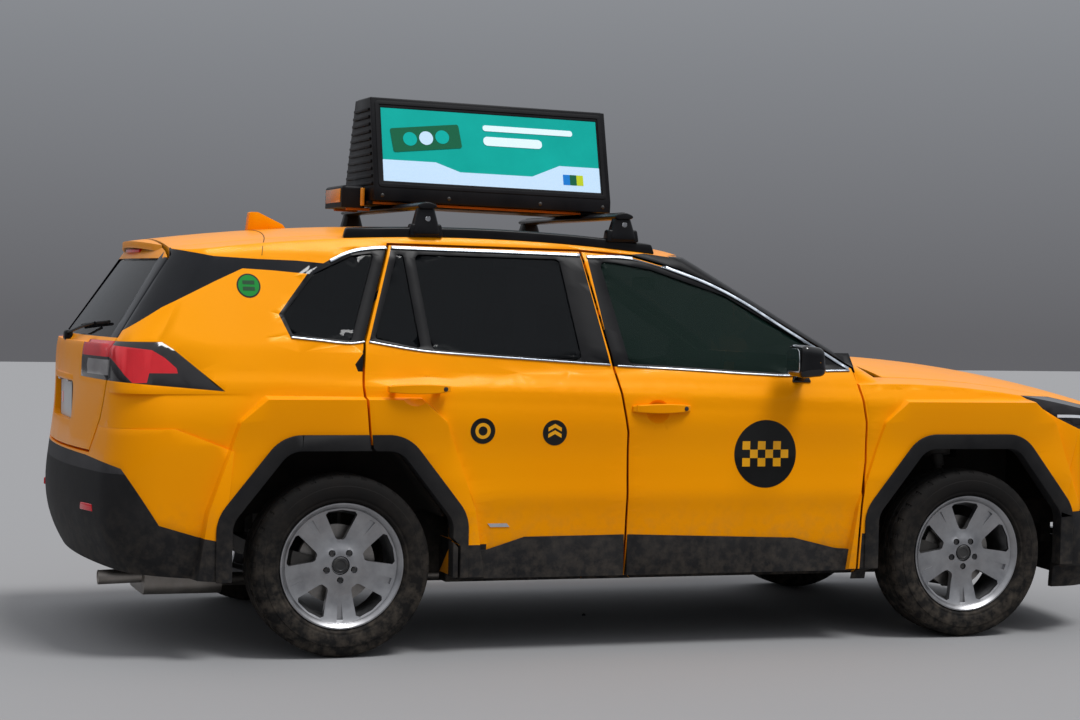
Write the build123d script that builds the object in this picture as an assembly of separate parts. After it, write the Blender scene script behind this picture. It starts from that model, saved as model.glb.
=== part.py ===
# A taxi cab: a compact hybrid crossover with a display box on its roof.
# +X points forward, +Y to the car's left, +Z up. Millimetres.
# The origin is on the ground, below the middle of the body.
from build123d import *
from math import atan, atan2, cos, hypot, radians, sin, sqrt
import os

# Overall sizes
nose_x = 2298
half_width = 927
wheelbase = 2690
front_axle_x = 1373
rear_axle_x = front_axle_x - wheelbase

# Roof and bonnet, each a surface that curves along and across the car
roof_peak_x = -800
roof_peak_z = 1668
roof_arc = 8200
roof_crown = 3400
bonnet_peak_x = 1000
bonnet_peak_z = 1150
bonnet_arc = 4600
bonnet_crown = 4000

# Walls
skin = 8
lip = 8
bonnet_skin = 14
bumper_skin = 30
lamp_depth = 80
roof_wall = 45
rear_wall = 70
glass_thick = 5
glass_set_in = 8
door_inner_y = 790
tailgate_inner_x = -2165

# Gaps and clearances
door_gap = 10
gate_gap = 10
roof_gap = 14
panel_gap = 6
seat_gap = 0.3
pillar_clear = 32
window_round = 22
arch_lip = 22

# Doors
door_bottom_z = 285
hinge_back = 70
hinge_y = 866
hinge_heights = (460, 930)
pin_radius = 6
barrel_wall = 7
barrel_height = 40
trailing_step = 30
door_top_y = 575
cladding_y = 900

# Tailgate hinge, ahead of the seam and under the roof
seam_x = -1930
gate_hinge_x = seam_x + 60
gate_hinge_z = 1562
gate_hinge_y = 350
spoiler_tip_x = -2010
spoiler_arc = 1500

# Bonnet and cowl
bonnet_start_x = 860
bonnet_rear_x = 1035
bonnet_front_x = 2165
bonnet_half = 742
bonnet_hinge_x = bonnet_rear_x + 30
bonnet_hinge_drop = 36
bonnet_hinge_y = 300
cowl_x = 985
cowl_front_x = 1080
cowl_half = 700
cowl_z = 1040
cowl_thick = 8
screen_base_z = 1148

# Floor, sills and pillars
roof_half = 520
firewall_x = 925
firewall_thick = 20
pillar_depth = 45
sill_top_z = 400
sill_bottom_z = 262
sill_inner_y = 660
sill_outer_y = 752
floor_z = 262
floor_thick = 36
load_floor_z = 560
front_well_y = 485
rear_well_y = 585
well_wall = 12

# Wheels, hubs and steering
wheel_y = 800
hub_z = 350
tyre_radius = 350
tyre_width = 225
rim_radius = 241
rim_width = 190
rim_wall = 26
spoke_count = 5
disc_radius = 152
disc_thick = 24
disc_y = 775
hub_bore = 34
ball_joint = (735, 215)
strut_top = (590, 900)
tower_z = 905

# Wheel arches, from the wheel's centre
arch_half = 430
arch_shoulder_z = 520
arch_top_half = 215
arch_top_z = 790
arch_round = 95
arch_band_width = 62
band_bottom_z = 300
cladding_out = 8
haunch_y = half_width - cladding_out
haunch_depth = 100


rail_z = 430
nose_beam_x = 2100
subframe_z = 262
pipe_z = 232
strut_pin = 13
ball_radius = 16
bar_front_z = 1722
bar_rear_z = 1739
# Screens, racks and the display on the roof
rail_y = 580
rail_front_x = 80
rail_rear_x = -1290
rail_height = 38
bar_front_x = -90
bar_rear_x = -925
display_front_x = -10
display_rear_x = -1045
display_height = 430
display_base_half = 245
display_top_half = 120
display_foot = 46
screen_length = 950
screen_height = 322
screen_recess = 6
tray_thick = 13
light_height = 92

# Height, nose, tail, half width, how far the side bows, front and rear corner radius
lower_sections = [
    (190, 2190, -2130, 838, 24, 260, 200),
    (360, 2272, -2240, 885, 24, 280, 210),
    (580, 2298, -2298, 905, 24, 290, 220),
    (780, 2292, -2280, 912, 26, 290, 220),
    (960, 2270, -2264, 903, 34, 290, 220),
    (1080, 2250, -2262, 861, 46, 280, 210),
    (1180, 2230, -2252, 786, 60, 270, 200),
]
nose_arc = 2600
tail_arc = 3200

# Height, windscreen, tail, half width
upper_sections = [
    (1000, 1256, -2262, 880),
    (1160, 974, -2250, 829),
    (1535, 313, -1985, 650),
    (1690, 40, -1876, 545),
]
upper_bow = 22
screen_arc = 2300
pillar_round = 90
rear_round = 150


def plan_outline(nose, tail, half, bow, front_round, back_round, front_arc, back_arc):
    # A closed outline seen from above: arcs at both ends, rounded corners, bowed sides
    side = half - bow

    def corner(end, arc, turn, sign):
        centre_x = end - sign * arc
        fillet_x = centre_x + sign * sqrt((arc - turn) ** 2 - (side - turn) ** 2)
        fillet_y = side - turn
        angle = atan2(fillet_y, abs(fillet_x - centre_x))
        on_end = (centre_x + sign * arc * cos(angle), arc * sin(angle))
        half_way = (angle + radians(90)) / 2
        middle = (fillet_x + sign * turn * cos(half_way), fillet_y + turn * sin(half_way))
        on_side = (fillet_x, side)
        return on_end, middle, on_side

    f_end, f_mid, f_side = corner(nose, front_arc, front_round, 1)
    b_end, b_mid, b_side = corner(tail, back_arc, back_round, -1)

    def down(point):
        return (point[0], -point[1])

    middle_x = (f_side[0] + b_side[0]) / 2
    edges = [
        ThreePointArc(down(f_end), (nose, 0), f_end),
        ThreePointArc(f_end, f_mid, f_side),
        ThreePointArc(f_side, (middle_x, half), b_side),
        ThreePointArc(b_side, b_mid, b_end),
        ThreePointArc(b_end, (tail, 0), down(b_end)),
        ThreePointArc(down(b_end), down(b_mid), down(b_side)),
        ThreePointArc(down(b_side), (middle_x, -half), down(f_side)),
        ThreePointArc(down(f_side), down(f_mid), down(f_end)),
    ]
    return make_face(Wire(edges))


def crowned(peak_x, peak_z, arc, crown, half, span, bottom):
    # The solid under a roof or bonnet that curves both along and across the car
    depth = peak_z - bottom
    edge_drop = crown - sqrt(crown ** 2 - half ** 2)
    section = make_face(
        Wire([
            Line((-half, -depth), (half, -depth)),
            Line((half, -depth), (half, -edge_drop)),
            ThreePointArc((half, -edge_drop), (0, 0), (-half, -edge_drop)),
            Line((-half, -edge_drop), (-half, -depth)),
        ])
    )
    placed = Plane((peak_x, 0, peak_z), x_dir=(0, 1, 0), z_dir=(1, 0, 0)) * section
    axis = Axis((peak_x, 0, peak_z - arc), (0, 1, 0))
    return revolve(placed.rotate(axis, -span / 2), axis, span)


def bonnet_surface(inset=0):
    return crowned(bonnet_peak_x, bonnet_peak_z - inset, bonnet_arc, bonnet_crown, 990, 50, 100)


def block(x0, x1, y0, y1, z0, z1):
    return Pos((x0 + x1) / 2, (y0 + y1) / 2, (z0 + z1) / 2) * Box(x1 - x0, y1 - y0, z1 - z0)


def lower_volume(inset=0):
    faces = []
    for z, nose, tail, half, bow, front_round, back_round in lower_sections:
        outline = plan_outline(
            nose - inset, tail + inset, half - inset, bow,
            front_round - inset, back_round - inset, nose_arc - inset, tail_arc - inset,
        )
        faces.append(Pos(0, 0, z) * outline)
    above = block(bonnet_start_x, 2500, -1000, 1000, 800, 1400)
    return loft(faces) - (above - bonnet_surface(inset))


def upper_volume(inset=0):
    faces = []
    for z, nose, tail, half in upper_sections:
        outline = plan_outline(
            nose - inset * screen_rise, tail + inset * glass_rise, half - inset, upper_bow,
            max(pillar_round - inset, 20), max(rear_round - inset, 20), screen_arc, tail_arc,
        )
        faces.append(Pos(0, 0, z) * outline)
    roof = crowned(roof_peak_x, roof_peak_z - inset, roof_arc, roof_crown, 990, 30, 900)
    return loft(faces, ruled=True) & roof


def side_face(points, turn=0):
    if turn:
        return make_face(FilletPolyline(*points, radius=turn, close=True))
    return make_face(Polyline(*points, close=True))


def side_prism(outline, near, far):
    # An outline in side view, pushed out on the right side between two distances from the middle
    return extrude(Plane.XZ.offset(near) * outline, far - near)


def front_prism(points, grow, near, far):
    # An outline in front view, y and z, mirrored to both sides and grown, between two places along the car
    both_sides = points + [(-y, z) for y, z in reversed(points)]
    outline = make_face(Polyline(*both_sides, close=True))
    if grow:
        outline = offset(outline, grow, kind=Kind.INTERSECTION)
    return extrude(Plane((near, 0, 0), x_dir=(0, 1, 0), z_dir=(1, 0, 0)) * outline, far - near)


def grown(points, amount):
    return offset(side_face(points), amount, kind=Kind.INTERSECTION)


def arch_face(axle_x, grow=0):
    points = [
        (axle_x - arch_half, -100), (axle_x - arch_half, arch_shoulder_z),
        (axle_x - arch_top_half, arch_top_z), (axle_x + arch_top_half, arch_top_z),
        (axle_x + arch_half, arch_shoulder_z), (axle_x + arch_half, -100),
    ]
    face = side_face(points, arch_round)
    return offset(face, grow) if grow else face


def haunch(axle_x, grow=0):
    # The squared swelling of the body over a wheel, on the right side
    points = [
        (axle_x - 560, 300), (axle_x - 520, 560), (axle_x - 400, 900), (axle_x - 300, 985),
        (axle_x + 300, 985), (axle_x + 400, 900), (axle_x + 520, 560), (axle_x + 560, 300),
    ]
    base = Plane.XZ.offset(haunch_y - haunch_depth) * grown(points, 25 + grow)
    return extrude(base, haunch_depth + grow, taper=14)


def tube(start, end, radius):
    path = Vector(end) - Vector(start)
    return extrude(Plane(start, z_dir=path) * Circle(radius), path.length)


def rod(x, z, radius, near, far):
    # A cylinder along the car's width, on the right side
    return extrude(Plane((x, -near, z), z_dir=(0, -1, 0)) * Circle(radius), far - near)


def mirrored(solid):
    return mirror(solid, Plane.XZ)


def pair(solid):
    return solid + mirrored(solid)


def save(name, *solids):
    pieces = []
    for solid in solids:
        pieces.extend(solid.solids())
    shape = pieces[0] if len(pieces) == 1 else Compound(pieces)
    export_step(shape, f"parts/{name}.step")


screen_rise = hypot(1, (upper_sections[1][1] - upper_sections[2][1]) / (upper_sections[2][0] - upper_sections[1][0]))
glass_rise = hypot(1, (upper_sections[2][2] - upper_sections[1][2]) / (upper_sections[2][0] - upper_sections[1][0]))

# Outlines in side view on the right side, x and z
shut_line = [(-165, door_bottom_z), (-165, 860), (-205, 1090), (-280, 1578)]
front_door_line = shut_line + [
    (-60, 1563), (150, 1508), (345, 1430), (852, 1120), (888, 900), (888, 740), (866, 560),
    (848, door_bottom_z),
]
rear_door_line = shut_line + [
    (-1085, 1584), (-1222, 1200), (-1240, 1035), (-1215, 800), (-862, 420), (-862, door_bottom_z),
]
front_window_line = [
    (-140, 1130), (-205, 1538), (-135, 1532), (21, 1507), (332, 1407), (705, 1190), (690, 1118),
    (545, 1096),
]
rear_window_line = [(-340, 1140), (-378, 1541), (-985, 1546), (-955, 1176)]
fixed_window_line = [(-1000, 1180), (-1030, 1543), (-1055, 1545), (-1180, 1215)]
quarter_window_line = [(-1275, 1205), (-1148, 1548), (-1235, 1536), (-1395, 1462), (-1530, 1300), (-1500, 1225)]
fender_line = [
    (858, 250), (876, 560), (898, 740), (898, 900), (868, 1100), (2400, 1100), (2400, 300),
    (1400, 300), (1400, 250),
]
ahead_of_side = [(858, 100), (858, 250), (876, 560), (898, 740), (898, 900), (868, 1100), (2400, 1100), (2400, 100)]
rear_bumper_line = [
    (-1690, 240), (-1770, 520), (-1745, 790), (-1960, 872), (-2400, 862), (-2400, 350), (-1765, 300),
]
below_bumper = [(-1690, 100), (-1690, 240), (-1770, 520), (-2400, 520), (-2400, 100)]
rear_black_line = [
    (-1690, 240), (-1765, 448), (-1870, 468), (-2015, 512), (-2150, 720), (-2240, 752), (-2400, 770),
    (-2400, 345), (-1765, 300),
]
front_bumper_line = [
    (1835, 190), (1800, 440), (1850, 640), (1905, 866), (2200, 846), (2400, 846), (2400, 230),
    (2150, 190),
]
front_black_line = [(1835, 180), (1800, 440), (1850, 520), (2060, 540), (2400, 500), (2400, 180)]
lamp_line = [
    (1628, 1012), (1800, 918), (1905, 872), (2200, 852), (2400, 852), (2400, 1100), (1900, 1100),
    (1870, 1000),
]
tail_lamp_line = [(-2400, 1188), (-2000, 1192), (-1957, 1164), (-1772, 1012), (-2076, 1036), (-2400, 1058)]
sill_line = [
    (-900, 282), (-900, 398), (-740, 404), (-590, 452), (-160, 455), (570, 430), (760, 384),
    (950, 368), (950, 282),
]
floor_line = [
    (firewall_x, floor_z), (-600, floor_z), (-780, load_floor_z - floor_thick),
    (-2145, load_floor_z - floor_thick), (-2145, load_floor_z), (-800, load_floor_z),
    (-620, floor_z + floor_thick), (firewall_x, floor_z + floor_thick),
]

# Outlines in front view, half of each, y and z
gate_line = [(560, 768), (640, 900), (690, 1050), (672, 1200), (548, 1560), (500, 1700)]
gate_glass_line = [(600, 1205), (490, 1508)]
screen_line = [(690, screen_base_z), (535, 1572)]
nose_grille_line = [(372, 1100), (372, 846), (330, 765)]
lower_grille_line = [(430, 650), (560, 400), (540, 340)]


def cabin_void(extra=0):
    inner = door_inner_y - extra
    low = block(tailgate_inner_x + extra, firewall_x, -inner, inner, 100, 1115) & lower_volume(rear_wall)
    high = upper_volume(roof_wall + extra) & block(-2300, 1300, -1000, 1000, 1100, 1700)
    footwell = block(700, firewall_x, -inner, inner, 800, 1045)
    return low + high + footwell


# The outer volume, hollowed into a shell
os.makedirs("parts", exist_ok=True)
lower = lower_volume()
lower_seat = lower_volume(-seat_gap)
under_skin = lower_volume(skin)
under_bumper = lower_volume(bumper_skin)
outer = lower + upper_volume()
for axle_x in (front_axle_x, rear_axle_x):
    outer = outer + pair(haunch(axle_x))
engine_void = under_skin & block(firewall_x, 2400, -1000, 1000, 100, 1400)
bumper_void = under_bumper & block(-2400, tailgate_inner_x + 1, -1000, 1000, 100, 690)
cabin = cabin_void()
shell = outer - cabin - engine_void - bumper_void
right = shell & block(-2400, 2400, -1000, 0, 0, 1800)
arches = []
for axle_x in (front_axle_x, rear_axle_x):
    opening = side_prism(arch_face(axle_x, arch_lip), rear_well_y, 1000)
    right = right - opening
    arches.append(opening)
front_arch, rear_arch = arches


# Doors, with their glass, hinges and handles
front_hinge_x = 888 - hinge_back
rear_hinge_x = -165 - door_gap / 2 - hinge_back
glass_layer = upper_volume(glass_set_in) - upper_volume(glass_set_in + glass_thick)


def hinge_arm(axis_x, z):
    # The pillar's half of a hinge: a barrel round the pin and an arm to the pillar
    barrel = Pos(axis_x, -hinge_y, z) * Cylinder(pin_radius + barrel_wall, barrel_height)
    arm = block(axis_x - 9, axis_x + 9, -hinge_y, -sill_outer_y + 3, z - barrel_height / 2, z + barrel_height / 2)
    return barrel + arm - Pos(axis_x, -hinge_y, z) * Cylinder(pin_radius + seat_gap, barrel_height + 2)


def hinge_pocket(axis_x, z):
    half = barrel_height / 2 + 14
    return block(axis_x - 24, axis_x + hinge_back + 20, -hinge_y - 18, -door_inner_y + 5, z - half, z + half)


def door_swing():
    # The room that a front door's leading edge turns through, as radius and height round its hinge
    edge = [(53, 280), (61, 293), (63, 304), (64, 320), (65.2, 380), (67.4, 450), (69.5, 500), (72, 550), (73.5, 580),
            (73.5, 650), (75, 700), (78.6, 740), (79.3, 780), (79.5, 820), (79.3, 860), (78, 900), (65.5, 960)]
    section = make_face(Polyline([(0, 280)] + edge + [(0, 960)], close=True))
    return Pos(front_hinge_x, -hinge_y, 0) * revolve(Plane.XZ * section, Axis.Z)


def handle(x, z):
    # A cup pressed into the skin and a grip that bridges it
    cup = Pos(x - 15, -haunch_y - 42, z - 4) * Sphere(75)
    grip = block(x - 110, x + 100, -922, -908, z - 15, z + 14)
    posts = block(x - 104, x - 84, -912, -860, z - 12, z + 11) + block(x + 66, x + 94, -912, -860, z - 12, z + 11)
    return cup, grip + posts


def make_door(line, windows, hinge_x, grip_x, grip_z, step=None):
    door = right & side_prism(grown(line, -door_gap / 2), door_top_y, 1000)
    for window, turn in windows:
        door = door - side_prism(side_face(window, turn), 450, 1000)
    if step:
        door = door - (side_prism(side_face(step), 450, 1000) & lower_volume(lip))
    cup, grip = handle(grip_x, grip_z)
    door = door - cup + grip
    for z in hinge_heights:
        door = door - hinge_pocket(hinge_x, z)
        door = door + Pos(hinge_x, -hinge_y, z) * Cylinder(pin_radius, barrel_height + 30)
    return door


def pane(line, turn):
    return glass_layer & side_prism(offset(side_face(line, turn), -seat_gap), 450, 1000)


step_line = [(x + trailing_step, z) for x, z in shut_line[:3]] + [(-240, 1090), (-240, door_bottom_z)]
front_door = make_door(front_door_line, [(front_window_line, window_round)], front_hinge_x, -25, 955, step_line)
rear_windows = [(rear_window_line, window_round), (fixed_window_line, 10)]
rear_door = make_door(rear_door_line, rear_windows, rear_hinge_x, -1030, 1028)
front_glass = pane(front_window_line, window_round)
rear_glass = [pane(line, turn) for line, turn in rear_windows]

# Black cladding: a sill band on each door and a band round each arch
seat = lower_seat + haunch(front_axle_x, seat_gap) + haunch(rear_axle_x, seat_gap)


def arch_band(axle_x):
    face = arch_face(axle_x, arch_band_width) - arch_face(axle_x)
    band = side_prism(face, 862, half_width) & block(-2300, 2300, -1000, 0, band_bottom_z, 1000)
    opening = side_prism(arch_face(axle_x, arch_lip - seat_gap), 500, 1000)
    return band - (seat - opening)


front_band = arch_band(front_axle_x)
rear_band = arch_band(rear_axle_x)
rear_door_cut = side_prism(grown(rear_door_line, door_gap / 2), door_top_y - 7, 1000)
front_door_cut = side_prism(grown(front_door_line, door_gap / 2), door_top_y - 7, 1000)
band_on_door = rear_band & side_prism(grown(rear_door_line, -door_gap / 2), 450, 1000)
band_on_body = rear_band - rear_door_cut
sill_band = side_prism(side_face(sill_line), 855, cladding_y) - seat
for axle_x in (front_axle_x, rear_axle_x):
    sill_band = sill_band - side_prism(arch_face(axle_x, arch_band_width + 0.5), 500, 1000)
front_cladding = sill_band & side_prism(grown(front_door_line, -door_gap / 2 - 2), 450, 1000)
rear_cladding = sill_band & side_prism(grown(rear_door_line, -door_gap / 2 - 2), 450, 1000)

# Mirrors, each on an arm from the front door
mirror_head = Pos(555, -1000, 1150) * Box(105, 190, 150)
mirror_head = fillet(mirror_head.edges(), 34)
mirror_arm = block(560, 640, -960, -840, 1068, 1094)
door_mirror = (mirror_head + mirror_arm) - lower_seat - upper_volume(-seat_gap)

# Tailgate, with its spoiler, glass and lamps
gate_cut = front_prism(gate_line, gate_gap / 2, -2400, seam_x)
tail_lamp_zone = pair(side_prism(side_face(tail_lamp_line), 380, 1000))
tail_lamp_cut = pair(side_prism(grown(tail_lamp_line, seat_gap), 380, 1000))
gate_zone = front_prism(gate_line, -gate_gap / 2, -2400, seam_x - roof_gap)
gate = shell & gate_zone
gate_lamps = gate & tail_lamp_zone
gate = gate - tail_lamp_cut - front_prism(gate_glass_line, 0, -2400, -1800)
gate_glass = glass_layer & front_prism(gate_glass_line, -seat_gap, -2400, -1800)


def roof_surface(inset=0):
    return crowned(roof_peak_x, roof_peak_z - inset, roof_arc, roof_crown, 990, 30, 900)


spoiler = (roof_surface() - roof_surface(26)) & block(-2078, seam_x - roof_gap, -515, 515, 1400, 1700)
spoiler = spoiler & (Pos(spoiler_tip_x + spoiler_arc, 0, 1550) * Cylinder(spoiler_arc, 400))
gate = gate + spoiler


def gate_arm():
    # A bent arm that carries the tailgate from a pivot under the roof
    x, z, y = gate_hinge_x, gate_hinge_z - 10, gate_hinge_y
    bends = [(x, -y, z), (x - 8, -y, z - 88), (x - 88, -y, z - 78), (x - 88, -y, z - 24)]
    arm = rod(x, z, 11, y - 11, y + 11)
    for start, end in zip(bends, bends[1:]):
        arm = arm + tube(start, end, 9) + Pos(*end) * Sphere(9)
    return arm - rod(x, z, 5 + seat_gap, y - 12, y + 12)


gate = gate + pair(gate_arm())

# Roof, windscreen and cowl
screen_cut = front_prism(screen_line, 0, 0, 1030)
roof_panel = (shell & block(seam_x, 420, -roof_half, roof_half, 1440, 1700)) - screen_cut
hinge_room = block(seam_x - 1, gate_hinge_x + 24, -gate_hinge_y - 28, -gate_hinge_y + 28, 1400, 1700)
roof_panel = roof_panel - pair(hinge_room & upper_volume(10))
for side_y in (gate_hinge_y - 20, gate_hinge_y + 12):
    ear = block(gate_hinge_x - 9, gate_hinge_x + 9, -side_y - 8, -side_y, 1540, 1574)
    roof_panel = roof_panel + pair(ear)
roof_panel = roof_panel + pair(rod(gate_hinge_x, gate_hinge_z - 10, 5, gate_hinge_y - 16, gate_hinge_y + 16))
windscreen = (upper_volume(5) - upper_volume(11)) & front_prism(screen_line, -seat_gap, 0, 1030)
cowl = block(firewall_x, 1050, -cowl_half, cowl_half, cowl_z - cowl_thick, cowl_z)
cowl = cowl + (block(firewall_x, cowl_x, -cowl_half, cowl_half, cowl_z - 4, screen_base_z) & upper_volume(2))
pivot_z = bonnet_peak_z - bonnet_hinge_drop - 2
for side_y in (bonnet_hinge_y - 20, bonnet_hinge_y + 12):
    post = block(bonnet_hinge_x - 7, bonnet_hinge_x + 10, -side_y - 8, -side_y, cowl_z - cowl_thick, pivot_z + 7)
    foot = block(1045, bonnet_hinge_x + 10, -side_y - 8, -side_y, cowl_z - cowl_thick, cowl_z)
    cowl = cowl + pair(post + foot)
cowl = cowl + pair(rod(bonnet_hinge_x, pivot_z, 4.5, bonnet_hinge_y - 16, bonnet_hinge_y + 16))

# Bonnet
bonnet_zone = block(bonnet_rear_x, bonnet_front_x, -bonnet_half, bonnet_half, 900, 1400)
bonnet = (lower - lower_volume(bonnet_skin)) & bonnet_zone
ear = rod(bonnet_hinge_x, pivot_z, 9, bonnet_hinge_y - 10, bonnet_hinge_y + 10)
ear = ear + block(bonnet_hinge_x - 8, bonnet_hinge_x + 8, -bonnet_hinge_y - 10, -bonnet_hinge_y + 10, pivot_z, pivot_z + 18)
ear = ear - rod(bonnet_hinge_x, pivot_z, 4.5 + seat_gap, bonnet_hinge_y - 12, bonnet_hinge_y + 12)
bonnet = bonnet + pair(ear)

# Wings, nose and lamps
gap = panel_gap
bonnet_cut = block(cowl_x, bonnet_front_x + gap, -bonnet_half - gap, bonnet_half + gap, 894, 1400)
lamp_zone = pair(side_prism(side_face(lamp_line), 380, 1000))
lamp_seat = pair(side_prism(grown(lamp_line, seat_gap), 380 - seat_gap, 1000))
front_bumper_cut = side_prism(grown(front_bumper_line, seat_gap), -1000, 1000)
headlamps = ((lower - lower_volume(lamp_depth)) & lamp_zone) - bonnet_cut
fender = (right - under_skin) & side_prism(side_face(fender_line), 700, 1000)
fender = fender - front_bumper_cut - lamp_seat - bonnet_cut - door_swing()
nose_cut = front_prism(nose_grille_line, 0, 2000, 2400)
lower_cut = front_prism(lower_grille_line, 0, 2000, 2400)
front_skin = (outer - under_bumper) & side_prism(side_face(front_bumper_line), -1000, 1000)
front_skin = front_skin - lamp_seat - nose_cut - lower_cut - pair(front_arch)
front_bumper_lower = front_skin & side_prism(side_face(front_black_line), -1000, 1000)
front_bumper = front_skin - side_prism(grown(front_black_line, seat_gap), -1000, 1000)


def grille(line, bottom, top, half, bars):
    # Horizontal bars in a frame that fills one opening
    panel = (lower - under_bumper) & front_prism(line, -seat_gap, 2000, 2400)
    pitch = (top - bottom) / bars
    for step in range(bars):
        z = bottom + pitch * (step + 0.5)
        panel = panel - block(2000, 2400, -half, half, z - pitch * 0.32, z + pitch * 0.32)
    return panel


nose_grille = grille(nose_grille_line, 780, 940, 318, 4) - bonnet_cut
lower_grille = grille(lower_grille_line, 360, 640, 410, 6)

# Rear bumper
rear_bumper_cut = side_prism(grown(rear_bumper_line, seat_gap), -1000, 1000)
rear_skin = (shell & side_prism(side_face(rear_bumper_line), -1000, 1000)) - gate_cut - pair(rear_arch)
rear_bumper_lower = rear_skin & side_prism(side_face(rear_black_line), -1000, 1000)
rear_bumper = rear_skin - side_prism(grown(rear_black_line, seat_gap), -1000, 1000)

# Side frame: the fixed side, with its pillars and sill inside the doors
side = right & block(-2400, 1150, -1000, -380, 282, 1700)
side = side - front_door_cut - rear_door_cut - gate_cut - screen_cut - rear_bumper_cut
side = side - side_prism(side_face(below_bumper), 0, 1000) - side_prism(side_face(ahead_of_side), 0, 1000)
side = side - block(firewall_x, 1200, -cowl_half - seat_gap, 0, 100, screen_base_z)
side = side - block(cowl_x, 1200, -bonnet_half - gap, 0, 100, 1400)
side = side - block(seam_x - 100, 500, -roof_half, 0, 1440, 1700)
side = side - side_prism(side_face(quarter_window_line, 12), 450, 1000)
tail_lamps = side & tail_lamp_zone
side = side - tail_lamp_cut - door_swing()
sill = block(-862, firewall_x, -sill_outer_y, -sill_inner_y, sill_bottom_z, sill_top_z)
hinge_pillar = block(front_hinge_x - 20, firewall_x, -sill_outer_y, -sill_inner_y, sill_bottom_z, cowl_z - cowl_thick)
hinge_strip = (lower_volume(skin + seat_gap) & block(908, firewall_x, -1000, -sill_inner_y, sill_bottom_z, 1100)) - front_arch
pillar_line = [(-300, 262), (-90, 262), (-110, 700), (-150, 1100), (-225, 1600), (-330, 1600), (-290, 1100), (-290, 700)]
inner_pillar = side_prism(side_face(pillar_line), 380, 1000) & (cabin_void(pillar_clear) - cabin_void(pillar_clear + pillar_depth))
cap = block(-325, -228, -563, -530, 1480, 1600)
end_plate = block(-872, -867, -861.7, -700, 300, 440) + block(-872, -860, -752, -700, 300, sill_top_z - 2)
side = side + sill + end_plate + hinge_pillar + hinge_strip + inner_pillar + cap
for z in hinge_heights:
    side = side + hinge_arm(front_hinge_x, z) + hinge_arm(rear_hinge_x, z)
quarter_glass = glass_layer & side_prism(offset(side_face(quarter_window_line, 12), -seat_gap), 450, 1000)

# Floor pan with firewall, front rails, suspension towers and rear wheel housings
def wheel_house(axle_x):
    # The inner skin round a rear wheel, above the load floor
    wall = arch_face(axle_x, well_wall) - arch_face(axle_x)
    roof = side_prism(wall, rear_well_y - well_wall, door_inner_y - 6)
    plate = side_prism(arch_face(axle_x, well_wall), rear_well_y - well_wall, rear_well_y)
    above_floor = block(-2400, 0, -1000, 0, load_floor_z - floor_thick, 1000)
    return (roof + plate) & above_floor


def tower(axle_x):
    # A plate over a front wheel that holds the top of the strut
    top = block(axle_x - 100, axle_x + 100, -715, -front_well_y + 15, tower_z, tower_z + 18)
    wall = block(axle_x - 420, axle_x + 420, -front_well_y + 3, -front_well_y + 15, rail_z, tower_z + 18)
    legs = block(axle_x - 100, axle_x - 90, -620, -front_well_y + 3, 730, tower_z + 18)
    legs = legs + block(axle_x + 90, axle_x + 100, -620, -front_well_y + 3, 730, tower_z + 18)
    bore = tube(kingpin(850), kingpin(960), strut_pin + seat_gap)
    return top + wall + legs - Pos(axle_x - front_axle_x, 0, 0) * bore


def kingpin(z):
    # A point on the right front steering axis at a given height
    (ball_y, ball_z), (top_y, top_z) = ball_joint, strut_top
    share = (z - ball_z) / (top_z - ball_z)
    return (front_axle_x, -(ball_y + (top_y - ball_y) * share), z)


floor_pan = extrude(Plane.XZ.offset(-sill_inner_y) * side_face(floor_line), 2 * sill_inner_y)
well_cut = side_prism(arch_face(rear_axle_x), rear_well_y - well_wall, 1000)
floor_pan = floor_pan - pair(well_cut) + pair(wheel_house(rear_axle_x))
floor_pan = floor_pan + block(-2164.7, -2145, -545, 545, load_floor_z - floor_thick, 755)
floor_pan = floor_pan + block(firewall_x, firewall_x + firewall_thick, -780, 780, floor_z, cowl_z - cowl_thick)
front_rail = block(firewall_x, nose_beam_x, -front_well_y + 3, -front_well_y + 103, rail_z, rail_z + 100)
floor_pan = floor_pan + pair(front_rail + tower(front_axle_x))
floor_pan = floor_pan + block(nose_beam_x, nose_beam_x + 40, -600, 600, rail_z, rail_z + 100)
floor_pan = floor_pan + block(nose_beam_x - 45, nose_beam_x + 1, -365, 365, 330, 840)
floor_pan = floor_pan + block(-600, firewall_x, -110, 110, floor_z + floor_thick - 1, floor_z + floor_thick + 55)

# Engine, tank and exhaust
engine = block(1120, 1660, -340, 340, subframe_z, 860)
fuel_tank = block(-1080, -790, -540, 540, 272, load_floor_z - floor_thick)
pipe_y = -280
exhaust = tube((1100 - seat_gap, pipe_y, pipe_z), (-1740, pipe_y, pipe_z), 26)
muffler = block(-2020, -1720, -610, -240, 215, 350)
muffler = fillet(muffler.edges().filter_by(Axis.X), 50)
exhaust = exhaust + muffler + block(-1890, -1860, -440, -400, 340, load_floor_z - floor_thick)
for x in (500, -400):
    exhaust = exhaust + block(x - 12, x + 12, pipe_y - 8, pipe_y + 8, pipe_z, floor_z)
tail_pipe = tube((-2010, -520, 285), (-2185, -520, 280), 28) - tube((-2060, -520, 284), (-2190, -520, 279), 24)
exhaust = exhaust + tail_pipe

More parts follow.
